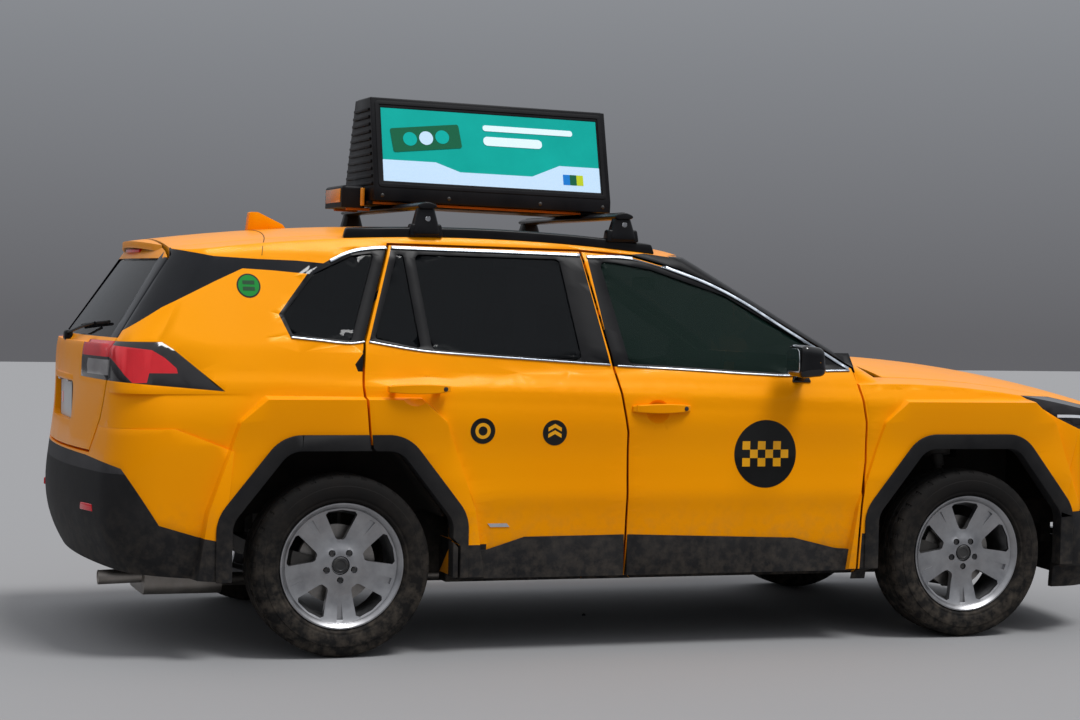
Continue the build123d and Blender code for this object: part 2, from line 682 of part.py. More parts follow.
# Front suspension: a subframe with posts to the rails, and an arm with a cup at each ball joint
subframe = block(1100, 1700, -400, 400, 215, subframe_z) - block(1190, 1600, -300, 300, 200, 300)
for x in (1105, 1640):
    subframe = subframe + pair(block(x, x + 60, -front_well_y + 70, -front_well_y + 103, 230, rail_z))
ball_y, ball_z = ball_joint
arm = extrude(Plane.XY.offset(ball_z - 14) * make_face(Polyline(
    (1240, -395), (front_axle_x - 26, -ball_y), (front_axle_x + 26, -ball_y), (1560, -395), close=True)), 24)
arm = arm - block(1330, 1440, -560, -380, 150, 300)
cup = Pos(front_axle_x, -ball_y, ball_z - 8) * Cylinder(26, 24)
arm = arm + cup - Pos(front_axle_x, -ball_y, ball_z) * Sphere(ball_radius + seat_gap)
front_suspension = subframe + pair(arm)

# Hub carriers: the front pair steer, the rear pair are fixed to their arms
def caliper(axle_x):
    # A brake caliper that straddles the disc behind the wheel's centre
    wheel = Pos(axle_x, 0, hub_z)
    wedge = side_prism(side_face([(-230, -70), (-40, -16), (-40, 16), (-230, 70)]), disc_y - 26, disc_y + disc_thick + 22)
    shape = wedge & (rod(0, 0, 184, 600, 900) - rod(0, 0, 100, 600, 900))
    slot = rod(0, 0, disc_radius + 6, disc_y - 6, disc_y + disc_thick + 6)
    bracket = block(-150, -20, -disc_y + 8, -672, -30, 30) - rod(0, 0, disc_radius + 6, disc_y - 6, 900)
    return wheel * ((shape - slot) + bracket)


def hub_carrier(axle_x):
    body = rod(axle_x, hub_z, 54, 655, 706)
    spindle = rod(axle_x, hub_z, hub_bore - seat_gap, 700, wheel_y + 10)
    return body + spindle + caliper(axle_x)


stud_top = kingpin(262)
knuckle = hub_carrier(front_axle_x) + Pos(front_axle_x, -ball_y, ball_z) * Sphere(ball_radius)
knuckle = knuckle + tube(kingpin(ball_z), stud_top, 8) + tube(stud_top, (front_axle_x, -682, 320), 20) + Pos(*stud_top) * Sphere(20)
neck = (front_axle_x, -642, 500)
knuckle = knuckle + tube((front_axle_x, -672, 380), neck, 19) + Pos(*neck) * Sphere(19)
knuckle = knuckle + tube(neck, kingpin(745), 19)
knuckle = knuckle + tube(kingpin(700), kingpin(880), 25) + tube(kingpin(745), kingpin(868), 55)
knuckle = knuckle + tube(kingpin(860), kingpin(922), strut_pin)

rear_arm = block(rear_axle_x - 35, rear_axle_x + 35, -690, -400, 290, 330)
damper = Pos(rear_axle_x, -500, (330 + load_floor_z - floor_thick) / 2) * Cylinder(48, load_floor_z - floor_thick - 330)
rear_beam = block(rear_axle_x - 170, rear_axle_x + 170, -410, 410, 290, 345)
rear_posts = block(rear_axle_x - 165, rear_axle_x - 115, -405, -350, 300, load_floor_z - floor_thick)
rear_posts = rear_posts + block(rear_axle_x + 115, rear_axle_x + 165, -405, -350, 300, load_floor_z - floor_thick)
rear_suspension = rear_beam + pair(rear_arm + damper + rear_posts + hub_carrier(rear_axle_x))


# Wheels: a cast rim with five spokes, a brake disc behind it, and a tyre
def turned(points, arcs=()):
    # A section in offset and radius, turned about the wheel's axis, which lies along y
    face = make_face(Polyline(*points, close=True))
    placed = Plane((0, 0, 0), x_dir=(0, -1, 0), z_dir=(1, 0, 0)) * face
    return revolve(placed, Axis.Y, 360)


def rim():
    half = rim_width / 2
    barrel = turned([
        (-half, rim_radius), (-half + 8, rim_radius), (-half + 12, rim_radius - 15), (-half + 34, rim_radius - 15),
        (-half + 50, rim_radius - 34), (half - 75, rim_radius - 34), (half - 50, rim_radius - 15),
        (half - 12, rim_radius - 15), (half - 8, rim_radius), (half, rim_radius), (half, rim_radius - 11),
        (half - 16, rim_radius - 26), (half - 48, rim_radius - 26), (half - 74, rim_radius - 45),
        (-half + 48, rim_radius - 45), (-half + 28, rim_radius - 25), (-half, rim_radius - 24),
    ])
    face = Plane.XZ.offset(half - 40)
    hub = extrude(face * Circle(68), 32) - extrude(Plane.XZ.offset(half - 12) * Circle(31), 8)
    spoke = side_face([(-30, 40), (30, 40), (52, 224), (-52, 224)])
    spoke = spoke - side_face([(-9, 120), (9, 120), (24, 230), (-24, 230)])
    wheel = barrel + hub
    for count in range(spoke_count):
        arm = extrude(face * spoke, 28).rotate(Axis.Y, count * 360 / spoke_count)
        wheel = wheel + (arm & extrude(Plane.XZ.offset(-half) * Circle(rim_radius - 20), rim_width))
    inner = disc_y - wheel_y
    disc = extrude(Plane.XZ.offset(inner) * Circle(disc_radius), disc_thick)
    hat = extrude(Plane.XZ.offset(inner) * Circle(76), half - 40 - inner)
    bore = extrude(Plane.XZ.offset(inner - 1) * Circle(hub_bore), wheel_y + 12 - disc_y)
    return wheel + disc + hat - bore


def tyre():
    half = tyre_width / 2
    bead = rim_width / 2 - 12.5
    return turned([
        (-bead, rim_radius - 14.7), (-bead - 5 + 14, rim_radius + 12), (-half + 6, rim_radius + 6), (-half, rim_radius + 44),
        (-half + 7, tyre_radius - 22), (-half + 22, tyre_radius - 4), (-half + 60, tyre_radius), (half - 60, tyre_radius),
        (half - 22, tyre_radius - 4), (half - 7, tyre_radius - 22), (half, rim_radius + 44), (half - 6, rim_radius + 6),
        (bead + 5 - 14, rim_radius + 12), (bead, rim_radius - 14.7), (bead - 12, rim_radius - 14.7),
        (bead - 10, rim_radius + 20), (half - 14, rim_radius + 46), (half - 24, tyre_radius - 20),
        (-half + 24, tyre_radius - 20), (-half + 14, rim_radius + 46), (-bead + 10, rim_radius + 20),
        (-bead + 12, rim_radius - 14.7),
    ])


# Seats, dashboard and steering wheel
def seat_shape(back_x, cushion_front, half, base_x, base_half):
    cushion = [(back_x, 520), (cushion_front, 500), (cushion_front + 20, 640), (back_x - 10, 650)]
    back = [(back_x + 20, 540), (back_x + 5, 660), (back_x - 165, 1180), (back_x - 265, 1170), (back_x - 110, 540)]
    head = [(back_x - 195, 1195), (back_x - 215, 1370), (back_x - 280, 1365), (back_x - 275, 1190)]
    shape = extrude(Plane.XZ.offset(-half) * side_face(cushion, 30), 2 * half)
    shape = shape + extrude(Plane.XZ.offset(-half) * side_face(back, 30), 2 * half)
    for x in (-60, 60):
        shape = shape + tube((back_x - 225, x, 1160), (back_x - 240, x, 1230), 7)
    shape = shape + extrude(Plane.XZ.offset(-130) * side_face(head, 22), 260)
    return shape + block(base_x, base_x + 330, -base_half, base_half, floor_z + floor_thick, 520)


front_seats = pair(Pos(0, -360, 0) * seat_shape(-60, 430, 250, 0, 200))
bench_base = load_floor_z
cushion = side_face([(-1010, bench_base), (-560, bench_base), (-540, 690), (-1010, 700)], 30)
back = side_face([(-960, bench_base + 40), (-955, 700), (-1080, 1190), (-1165, 1185), (-1075, bench_base + 40)], 30)
rear_seat = extrude(Plane.XZ.offset(-560) * cushion, 1120) + extrude(Plane.XZ.offset(-560) * back, 1120)
for y in (-380, 0, 380):
    for x in (-50, 50):
        rear_seat = rear_seat + tube((-1115, y + x, 1160), (-1125, y + x, 1230), 7)
    head = side_face([(-1085, 1200), (-1105, 1330), (-1165, 1325), (-1160, 1195)], 20)
    rear_seat = rear_seat + extrude(Plane.XZ.offset(-y - 120) * head, 240)
dash_line = [(firewall_x, 640), (firewall_x, 1028), (700, 1062), (575, 1010), (560, 870), (640, 700), (700, 640)]
dashboard = extrude(Plane.XZ.offset(-650) * side_face(dash_line, 15), 1300)
dashboard = dashboard + block(0, 740, -100, 100, floor_z + floor_thick + 55, 660)
wheel_plane = Plane((430, 360, 950), x_dir=(0, 1, 0), z_dir=(-cos(radians(25)), 0, sin(radians(25))))
steering = wheel_plane * Torus(184, 15)
steering = steering + wheel_plane * Box(340, 44, 14) + wheel_plane * Cylinder(62, 40)
steering = steering + wheel_plane * Pos(0, 0, -120) * Cylinder(28, 260)
dashboard = dashboard + steering


# Roof equipment: rails, bars, display, light and aerial
rail = roof_surface(-rail_height) - roof_surface(-seat_gap)
rail = rail & block(rail_rear_x, rail_front_x, -rail_y - 16, -rail_y + 16, 1400, 1800)
rail_line = [(rail_rear_x - 2, 1500), (rail_rear_x + 90, 1800), (rail_front_x - 110, 1800), (rail_front_x + 2, 1500)]
roof_rails = pair(rail & side_prism(side_face(rail_line), 500, 700))
over_rail = roof_surface(-rail_height - seat_gap)
rack_slope = (bar_rear_z - bar_front_z) / (bar_front_x - bar_rear_x)


def crossbar(x, z):
    # A bar across the roof with a foot on each rail
    foot_line = [(-rail_y - 40, 1590), (-rail_y + 35, 1590), (-rail_y + 30, z + 14), (-rail_y - 20, z + 14)]
    across = Plane((x - 62, 0, 0), x_dir=(0, 1, 0), z_dir=(1, 0, 0))
    foot = extrude(across * side_face(foot_line), 124) - over_rail
    along = Plane((x, -rail_y - 10, z), x_dir=(1, 0, 0), z_dir=(0, 1, 0))
    return extrude(along * Ellipse(34, 13), 2 * rail_y + 20) + pair(foot)


# The display stands on a tray that rests on the bars and slopes with them
rack = Plane((bar_rear_x, 0, bar_rear_z + 13 + seat_gap), x_dir=(cos(atan(rack_slope)), 0, -sin(atan(rack_slope))),
             z_dir=(sin(atan(rack_slope)), 0, cos(atan(rack_slope))))
crossbars = crossbar(bar_front_x, bar_front_z) + crossbar(bar_rear_x, bar_rear_z)
tray_front = display_front_x - bar_rear_x
tray_rear = display_rear_x - bar_rear_x
display_tray = rack * block(tray_rear - 10, tray_front, -190, 190, 0, tray_thick)
wedge = side_face([
    (-display_base_half, 0), (display_base_half, 0), (display_base_half, display_foot),
    (display_top_half, display_height), (-display_top_half, display_height), (-display_base_half, display_foot),
])
ends = Plane((tray_rear, 0, tray_thick + seat_gap), x_dir=(0, 1, 0), z_dir=(1, 0, 0))
display_box = extrude(ends * wedge, tray_front - tray_rear)
rise = display_height - display_foot
run = display_base_half - display_top_half
middle = ((tray_front + tray_rear) / 2, -(display_base_half + display_top_half) / 2, tray_thick + (display_height + display_foot) / 2)
face = Plane(middle, x_dir=(1, 0, 0), z_dir=(0, -rise, run))
recess = face * Pos(0, 0, 0) * Box(screen_length + 2 * seat_gap, screen_height + 2 * seat_gap, 2 * screen_recess)
screen = face * Pos(0, 0, -screen_recess / 2 - 1) * Box(screen_length, screen_height, screen_recess - 2 - seat_gap)
display_box = rack * (display_box - pair(recess))
display_screens = rack * pair(screen)
light = Pos(tray_rear - 60.3, 0, light_height / 2 - 17) * Box(100, 300, light_height)
roof_light = rack * fillet(light.edges().filter_by(Axis.Z) + light.faces().sort_by(Axis.Z)[-1].edges(), 16)
fin_line = [(-1525, 1610), (-1330, 1610), (-1375, 1664), (-1478, 1712), (-1512, 1712)]
fin = extrude(Plane.XZ * side_face(fin_line), 24, both=True)
shark_fin = fillet(fin.edges().filter_by(Axis.Y), 8) - roof_surface(-seat_gap)

body_pieces = {
    "floor_pan": floor_pan, "side_frames": pair(side), "roof_panel": roof_panel, "cowl": cowl,
    "fenders": pair(fender), "front_bumper": front_bumper, "front_bumper_lower": front_bumper_lower,
    "grilles": nose_grille + lower_grille, "headlamps": headlamps, "rear_bumper": rear_bumper,
    "rear_bumper_lower": rear_bumper_lower, "tail_lamps": pair(tail_lamps), "windscreen": windscreen,
    "quarter_glass": pair(quarter_glass), "arch_bands": pair(front_band + band_on_body),
    "roof_rails": roof_rails, "crossbars": crossbars, "display_tray": display_tray,
    "display_box": display_box, "display_screens": display_screens, "roof_light": roof_light,
    "shark_fin": shark_fin, "front_seats": front_seats, "rear_seat": rear_seat, "dashboard": dashboard,
    "engine": engine, "fuel_tank": fuel_tank, "exhaust": exhaust, "front_suspension": front_suspension,
    "rear_suspension": rear_suspension, "bonnet": bonnet, "tailgate": gate, "tailgate_glass": gate_glass,
    "tailgate_lamps": gate_lamps,
}
for name, solid in body_pieces.items():
    save(name, solid)
side_pieces = {
    "door_front": [front_door], "glass_front": [front_glass], "cladding_front": [front_cladding],
    "mirror": [door_mirror], "door_rear": [rear_door], "glass_rear": rear_glass,
    "cladding_rear": [rear_cladding, band_on_door], "knuckle": [knuckle],
}
for name, solids in side_pieces.items():
    save(f"{name}_right", *solids)
    save(f"{name}_left", *[mirrored(solid) for solid in solids])
for end, axle_x in (("front", front_axle_x), ("rear", rear_axle_x)):
    place = Pos(axle_x, -wheel_y, hub_z)
    for name, solid in (("rim", rim()), ("tyre", tyre())):
        save(f"{name}_{end}_right", place * solid)
        save(f"{name}_{end}_left", mirrored(place * solid))
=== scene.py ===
# Taxi cab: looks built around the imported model, in metres, +X forward and +Y to the car's left
import math

import bmesh
import bpy
from mathutils import Matrix, Vector
from mathutils.bvhtree import BVHTree


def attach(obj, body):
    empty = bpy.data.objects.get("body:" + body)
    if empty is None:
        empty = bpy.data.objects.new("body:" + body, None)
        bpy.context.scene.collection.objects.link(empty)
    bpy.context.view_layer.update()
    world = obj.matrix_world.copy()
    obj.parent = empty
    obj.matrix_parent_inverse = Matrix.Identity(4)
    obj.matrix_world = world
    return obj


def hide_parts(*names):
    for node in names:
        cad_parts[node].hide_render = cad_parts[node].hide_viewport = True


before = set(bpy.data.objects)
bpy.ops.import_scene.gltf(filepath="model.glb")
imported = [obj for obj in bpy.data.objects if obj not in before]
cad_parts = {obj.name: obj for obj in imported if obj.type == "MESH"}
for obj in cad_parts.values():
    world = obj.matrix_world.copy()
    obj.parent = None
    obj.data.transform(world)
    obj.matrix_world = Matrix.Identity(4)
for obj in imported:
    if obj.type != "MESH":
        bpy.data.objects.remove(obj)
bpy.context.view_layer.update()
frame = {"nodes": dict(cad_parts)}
nodes = frame["nodes"]
sides = (("right", -1), ("left", 1))
print("stage: frame loaded")


# Camera, from the photograph's viewing angle
cameraView = {
    "place": (-3.4914, -9.3476, 1.4233),
    "turn": 19.257,
    "down": 1.794,
    "roll": 1.208,
    "focal": 2294.4,
    "imageWidth": 1080,
    "sensor": 36,
}


def addCamera(view):
    turn, down, roll = (math.radians(view[key]) for key in ("turn", "down", "roll"))
    ahead = Vector((math.sin(turn) * math.cos(down), math.cos(turn) * math.cos(down), -math.sin(down)))
    right = Vector((math.cos(turn), -math.sin(turn), 0))
    below = ahead.cross(right)
    level = right * math.cos(roll) - below * math.sin(roll)
    below = right * math.sin(roll) + below * math.cos(roll)
    data = bpy.data.cameras.new("camera")
    data.sensor_width = view["sensor"]
    data.lens = view["focal"] / view["imageWidth"] * view["sensor"]
    camera = bpy.data.objects.new("camera", data)
    bpy.context.scene.collection.objects.link(camera)
    basis = Matrix((level, -below, -ahead)).transposed().to_4x4()
    camera.matrix_world = Matrix.Translation(view["place"]) @ basis
    bpy.context.scene.camera = camera


addCamera(cameraView)


# Small steps that every piece uses
def pickOnly(piece):
    bpy.ops.object.select_all(action="DESELECT")
    piece.select_set(True)
    bpy.context.view_layer.objects.active = piece


def fixPlace():
    # the picked piece keeps its place in its mesh, with the object at the origin
    bpy.ops.object.transform_apply(location=True, rotation=True, scale=True)


def applyAll(piece):
    pickOnly(piece)
    for modifier in list(piece.modifiers):
        bpy.ops.object.modifier_apply(modifier=modifier.name)


def settle(piece, name, body, finish, smooth=35):
    # the object's place goes into its mesh, and the piece rides on its body
    pickOnly(piece)
    fixPlace()
    piece.name = name
    piece.data.name = name
    if smooth:
        bpy.ops.object.shade_smooth_by_angle(angle=math.radians(smooth))
    if finish is not None:
        piece.data.materials.clear()
        piece.data.materials.append(finish)
    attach(piece, body)
    return piece


def tidyMesh(piece, outward=True):
    pickOnly(piece)
    bpy.ops.object.mode_set(mode="EDIT")
    bpy.ops.mesh.select_all(action="SELECT")
    bpy.ops.mesh.remove_doubles(threshold=0.00002)
    if outward:
        bpy.ops.mesh.normals_make_consistent(inside=False)
    bpy.ops.object.mode_set(mode="OBJECT")


def addBevel(piece, width, segments=2, angle=35):
    bevel = piece.modifiers.new("bevel", "BEVEL")
    bevel.width = width
    bevel.segments = segments
    bevel.limit_method = "ANGLE"
    bevel.angle_limit = math.radians(angle)
    bevel.use_clamp_overlap = True
    bevel.harden_normals = False
    return bevel


def copyNode(node, name):
    piece = bpy.data.objects.new(name, nodes[node].data.copy())
    bpy.context.scene.collection.objects.link(piece)
    piece.data.materials.clear()
    tidyMesh(piece, outward=False)
    return piece


def joinPieces(pieces):
    pickOnly(pieces[0])
    for piece in pieces:
        piece.select_set(True)
    bpy.ops.object.join()
    return pieces[0]


def dressNode(node, name, body, finish, bevel=0.0, smooth=32, shape=None):
    # a merged and smoothed copy of a CAD node stands for it
    piece = copyNode(node, name)
    if shape:
        shape(piece)
    if bevel:
        addBevel(piece, bevel)
        applyAll(piece)
    settle(piece, name, body, finish, smooth)
    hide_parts(node)
    return piece


# Regions in side view, x and z: edges are cut into a copy, and its faces take their finish by place
def cutOutline(piece, outline, reach=0.03):
    mesh = bmesh.new()
    mesh.from_mesh(piece.data)
    for (x0, z0), (x1, z1) in zip(outline, outline[1:] + outline[:1]):
        lowX, highX = min(x0, x1) - reach, max(x0, x1) + reach
        lowZ, highZ = min(z0, z1) - reach, max(z0, z1) + reach
        near = set()
        for face in mesh.faces:
            xs = [vertex.co.x for vertex in face.verts]
            zs = [vertex.co.z for vertex in face.verts]
            if max(xs) > lowX and min(xs) < highX and max(zs) > lowZ and min(zs) < highZ:
                near.add(face)
                near.update(face.edges)
                near.update(face.verts)
        bmesh.ops.bisect_plane(mesh, geom=list(near), dist=0.00001, plane_co=(x0, 0, z0),
                               plane_no=(z1 - z0, 0, x0 - x1))
    mesh.to_mesh(piece.data)
    mesh.free()


def inOutline(x, z, outline):
    inside = False
    for (x0, z0), (x1, z1) in zip(outline, outline[1:] + outline[:1]):
        if (z0 > z) != (z1 > z) and x < x0 + (z - z0) / (z1 - z0) * (x1 - x0):
            inside = not inside
    return inside


def cutLevels(piece, low, high, step, axis=2):
    # evenly spaced cuts across a copy, so that its skin can be pressed into shape
    mesh = bmesh.new()
    mesh.from_mesh(piece.data)
    place = low
    while place < high:
        point = [0, 0, 0]
        point[axis] = place
        facing = [0, 0, 0]
        facing[axis] = 1
        bmesh.ops.bisect_plane(mesh, geom=mesh.verts[:] + mesh.edges[:] + mesh.faces[:], dist=0.00001,
                               plane_co=point, plane_no=facing)
        place += step
    mesh.to_mesh(piece.data)
    mesh.free()


def finishByPlace(piece, rules):
    # the last rule whose test holds gives a face its finish
    for finish, test in rules:
        piece.data.materials.append(finish)
    for face in piece.data.polygons:
        for count, (finish, test) in enumerate(rules):
            if test(face.center, face.normal):
                face.material_index = count


# Materials
def newMaterial(name):
    made = bpy.data.materials.new(name)
    made.use_nodes = True
    tree = made.node_tree
    return made, tree, tree.nodes["Principled BSDF"]


def addNode(tree, kind, **values):
    node = tree.nodes.new(kind)
    for key, value in values.items():
        if key in node.inputs:
            node.inputs[key].default_value = value
        else:
            setattr(node, key, value)
    return node


def objectNoise(tree, scale, detail=4.0, rough=0.5, stretch=(1, 1, 1)):
    place = addNode(tree, "ShaderNodeTexCoord")
    turn = addNode(tree, "ShaderNodeMapping", Scale=stretch)
    noise = addNode(tree, "ShaderNodeTexNoise", Scale=scale, Detail=detail, Roughness=rough)
    tree.links.new(place.outputs["Object"], turn.inputs["Vector"])
    tree.links.new(turn.outputs["Vector"], noise.inputs["Vector"])
    return noise


def ramp(tree, source, stops):
    node = addNode(tree, "ShaderNodeValToRGB")
    elements = node.color_ramp.elements
    while len(elements) < len(stops):
        elements.new(0.5)
    for element, (place, colour) in zip(elements, stops):
        element.position = place
        element.color = (*colour, 1) if len(colour) == 3 else colour
    tree.links.new(source, node.inputs["Fac"])
    return node


def grey(value):
    return (value, value, value)


def addBump(tree, shader, source, strength, distance):
    bump = addNode(tree, "ShaderNodeBump", Strength=strength, Distance=distance)
    tree.links.new(source, bump.inputs["Height"])
    tree.links.new(bump.outputs["Normal"], shader.inputs["Normal"])


def heightMask(tree, low, high):
    # 1 below the low height and 0 above the high one
    place = addNode(tree, "ShaderNodeTexCoord")
    split = addNode(tree, "ShaderNodeSeparateXYZ")
    tree.links.new(place.outputs["Object"], split.inputs["Vector"])
    ranged = addNode(tree, "ShaderNodeMapRange")
    ranged.inputs["From Min"].default_value = low
    ranged.inputs["From Max"].default_value = high
    ranged.inputs["To Min"].default_value = 1
    ranged.inputs["To Max"].default_value = 0
    tree.links.new(split.outputs["Z"], ranged.inputs["Value"])
    return ranged


paintLook = {
    "bright": (0.97, 0.345, 0.0003),
    "deep": (0.93, 0.305, 0.0003),
    "dust": (0.30, 0.17, 0.06),
    "sheen": (1.0, 0.58, 0.10),
    "bend": 1.28,
    "dustLow": 0.34,
    "dustHigh": 0.62,
    "rough": 0.32,
    "coatRough": 0.07,
}


def makePaint(look):
    made, tree, shader = newMaterial("taxiYellow")
    patches = objectNoise(tree, 0.9, 2)
    tone = ramp(tree, patches.outputs["Fac"], [(0.3, look["deep"]), (0.7, look["bright"])])
    speckle = objectNoise(tree, 26, 4, 0.55)
    low = heightMask(tree, look["dustLow"], look["dustHigh"])
    amount = addNode(tree, "ShaderNodeMath", operation="MULTIPLY")
    specks = ramp(tree, speckle.outputs["Fac"], [(0.42, grey(0)), (0.8, grey(0.4))])
    tree.links.new(specks.outputs["Color"], amount.inputs[0])
    tree.links.new(low.outputs["Result"], amount.inputs[1])
    mix = addNode(tree, "ShaderNodeMix", data_type="RGBA")
    tree.links.new(amount.outputs[0], mix.inputs["Factor"])
    tree.links.new(tone.outputs["Color"], mix.inputs["A"])
    mix.inputs["B"].default_value = (*look["dust"], 1)
    tree.links.new(mix.outputs["Result"], shader.inputs["Base Color"])
    wear = objectNoise(tree, 7, 2)
    rough = ramp(tree, wear.outputs["Fac"], [(0.35, grey(look["rough"] - 0.03)), (0.75, grey(look["rough"] + 0.06))])
    tree.links.new(rough.outputs["Color"], shader.inputs["Roughness"])
    shader.inputs["IOR"].default_value = look["bend"]
    shader.inputs["Specular IOR Level"].default_value = 0.8
    shader.inputs["Specular Tint"].default_value = (*look["sheen"], 1)
    shader.inputs["Coat Weight"].default_value = 0.05
    shader.inputs["Coat Roughness"].default_value = look["coatRough"]
    peel = objectNoise(tree, 420, 2)
    addBump(tree, shader, peel.outputs["Fac"], 0.03, 0.0003)
    return made


def makePlastic(name, colour, worn, rough, grain=900, bump=0.25, coat=0.0, dusty=True, gloss=0.12, glow=0.0):
    # moulded plastic: fine grain in the surface, faded patches and dust low down
    made, tree, shader = newMaterial(name)
    patches = objectNoise(tree, 5, 5, 0.6)
    tone = ramp(tree, patches.outputs["Fac"], [(0.32, colour), (0.78, worn)])
    last = tone.outputs["Color"]
    if dusty:
        low = heightMask(tree, 0.2, 0.62)
        speckle = objectNoise(tree, 22, 7, 0.65)
        specks = ramp(tree, speckle.outputs["Fac"], [(0.42, grey(0)), (0.8, grey(0.7))])
        amount = addNode(tree, "ShaderNodeMath", operation="MULTIPLY")
        tree.links.new(specks.outputs["Color"], amount.inputs[0])
        tree.links.new(low.outputs["Result"], amount.inputs[1])
        mix = addNode(tree, "ShaderNodeMix", data_type="RGBA")
        tree.links.new(amount.outputs[0], mix.inputs["Factor"])
        tree.links.new(last, mix.inputs["A"])
        mix.inputs["B"].default_value = (0.11, 0.09, 0.07, 1)
        last = mix.outputs["Result"]
    tree.links.new(last, shader.inputs["Base Color"])
    grained = objectNoise(tree, grain, 3)
    spread = ramp(tree, patches.outputs["Fac"], [(0.3, grey(rough - 0.06)), (0.8, grey(rough + 0.08))])
    tree.links.new(spread.outputs["Color"], shader.inputs["Roughness"])
    addBump(tree, shader, grained.outputs["Fac"], bump, 0.0004)
    shader.inputs["Specular IOR Level"].default_value = gloss
    if glow:
        tree.links.new(last, shader.inputs["Emission Color"])
        shader.inputs["Emission Strength"].default_value = glow
    if coat:
        shader.inputs["Coat Weight"].default_value = coat
        shader.inputs["Coat Roughness"].default_value = 0.05
    return made


def makeMetal(name, colour, worn, rough, grain=60, metallic=1.0, bump=0.05, stretch=(1, 1, 1)):
    made, tree, shader = newMaterial(name)
    patches = objectNoise(tree, grain, 6, 0.6, stretch)
    tone = ramp(tree, patches.outputs["Fac"], [(0.3, colour), (0.75, worn)])
    tree.links.new(tone.outputs["Color"], shader.inputs["Base Color"])
    spread = ramp(tree, patches.outputs["Fac"], [(0.3, grey(rough - 0.05)), (0.75, grey(rough + 0.12))])
    tree.links.new(spread.outputs["Color"], shader.inputs["Roughness"])
    shader.inputs["Metallic"].default_value = metallic
    addBump(tree, shader, patches.outputs["Fac"], bump, 0.0005)
    return made


def makeGlass(name, tint, see, rough=0.02):
    # tinted glass: part of the light goes straight through, the rest is the tint with a clear gloss
    made, tree, shader = newMaterial(name)
    dust = objectNoise(tree, 7, 6, 0.62)
    film = ramp(tree, dust.outputs["Fac"], [(0.35, grey(1 - see)), (0.85, grey(min(1, 1 - see + 0.05)))])
    shader.inputs["Base Color"].default_value = (*tint, 1)
    shader.inputs["Roughness"].default_value = rough
    shader.inputs["Specular IOR Level"].default_value = 0.16
    tree.links.new(film.outputs["Color"], shader.inputs["Alpha"])
    made.surface_render_method = "BLENDED"
    return made


paint = makePaint(paintLook)
cladding = makePlastic("darkCladding", (0.010, 0.010, 0.011), (0.024, 0.023, 0.023), 0.62)
lowTrim = makePlastic("lowTrim", (0.005, 0.005, 0.006), (0.012, 0.012, 0.012), 0.6)
blackGloss = makePlastic("blackGloss", (0.002, 0.003, 0.005), (0.004, 0.005, 0.008), 0.10, 300, 0.02, 0.08, False, 0.25)
rackBlack = makePlastic("rackBlack", (0.004, 0.004, 0.005), (0.010, 0.010, 0.011), 0.34, 500, 0.08, 0, False, 0.15)
displayBlack = makePlastic("displayBlack", (0.004, 0.004, 0.005), (0.010, 0.010, 0.012), 0.4, 700, 0.1, 0, False, 0.12)
trimBlack = makePlastic("trimBlack", (0.003, 0.003, 0.004), (0.008, 0.008, 0.009), 0.36, 400, 0.08, 0, False, 0.12)
doorCard = makePlastic("doorCard", (0.016, 0.016, 0.017), (0.028, 0.028, 0.03), 0.6, 900, 0.3, 0, False)
dashPlastic = makePlastic("dashPlastic", (0.022, 0.022, 0.024), (0.035, 0.034, 0.035), 0.62, 1100, 0.3, 0, False)
underPaint = makePlastic("underPaint", (0.014, 0.013, 0.012), (0.035, 0.030, 0.026), 0.8, 200, 0.3)
windowGlass = makeGlass("windowGlass", (0.005, 0.016, 0.012), 0.36)
privacyGlass = makeGlass("privacyGlass", (0.004, 0.005, 0.006), 0.16)
chrome = makeMetal("chrome", (0.62, 0.63, 0.65), (0.72, 0.73, 0.75), 0.12, 30)
satinTrim = makeMetal("satinTrim", (0.30, 0.33, 0.37), (0.38, 0.41, 0.45), 0.26, 30)
alloy = makeMetal("alloy", (0.30, 0.30, 0.31), (0.44, 0.44, 0.45), 0.34, 14)
alloyDark = makeMetal("alloyDark", (0.03, 0.03, 0.032), (0.07, 0.068, 0.065), 0.5, 20, 0.6)
brakeSteel = makeMetal("brakeSteel", (0.20, 0.19, 0.18), (0.34, 0.32, 0.30), 0.35, 25)
castMetal = makeMetal("castMetal", (0.05, 0.048, 0.045), (0.12, 0.11, 0.10), 0.65, 18, 0.5, 0.3)
exhaustSteel = makeMetal("exhaustSteel", (0.22, 0.20, 0.18), (0.36, 0.33, 0.30), 0.4, 12)
rubber = makePlastic("rubber", (0.006, 0.006, 0.006), (0.013, 0.011, 0.010), 0.8, 600, 0.35, gloss=0.15)
lampDark = makePlastic("lampDark", (0.006, 0.005, 0.006), (0.014, 0.011, 0.012), 0.12, 200, 0.02, 0.7, False, 0.2)
# red lens plastic with a faint glow; the reflectors and the plate decal share it, so they glow too though they are no
# lamps: a painted glow
redLens = makePlastic("redLens", (0.42, 0.0015, 0.006), (0.60, 0.002, 0.012), 0.14, 90, 0.02, 0.7, False, 0.15, 0.12)
clearLens = makeGlass("clearLens", (0.10, 0.105, 0.11), 0.55)
amberLens = makePlastic("amberLens", (0.62, 0.22, 0.010), (0.80, 0.34, 0.02), 0.2, 90, 0.02, 0.8, False)
screenLit = makePlastic("screenLit", (0.001, 0.36, 0.31), (0.001, 0.42, 0.36), 0.4, 300, 0.02, 0, False, 0.08, 0.12)
print("stage: materials")


# The pressed lines of the doors and wings: height, how far out, how wide
pressing = {
    "shoulderFront": 0.985,
    "shoulderRear": 1.045,
    "shoulderOut": 0.007,
    "shoulderWide": 0.050,
    "hollow": -0.008,
    "hollowHeight": 0.800,
    "hollowWide": 0.095,
    "lowerOut": 0.006,
    "lowerHeight": 0.610,
    "lowerWide": 0.055,
    "from": 0.46,
    "to": 1.10,
    "step": 0.018,
}


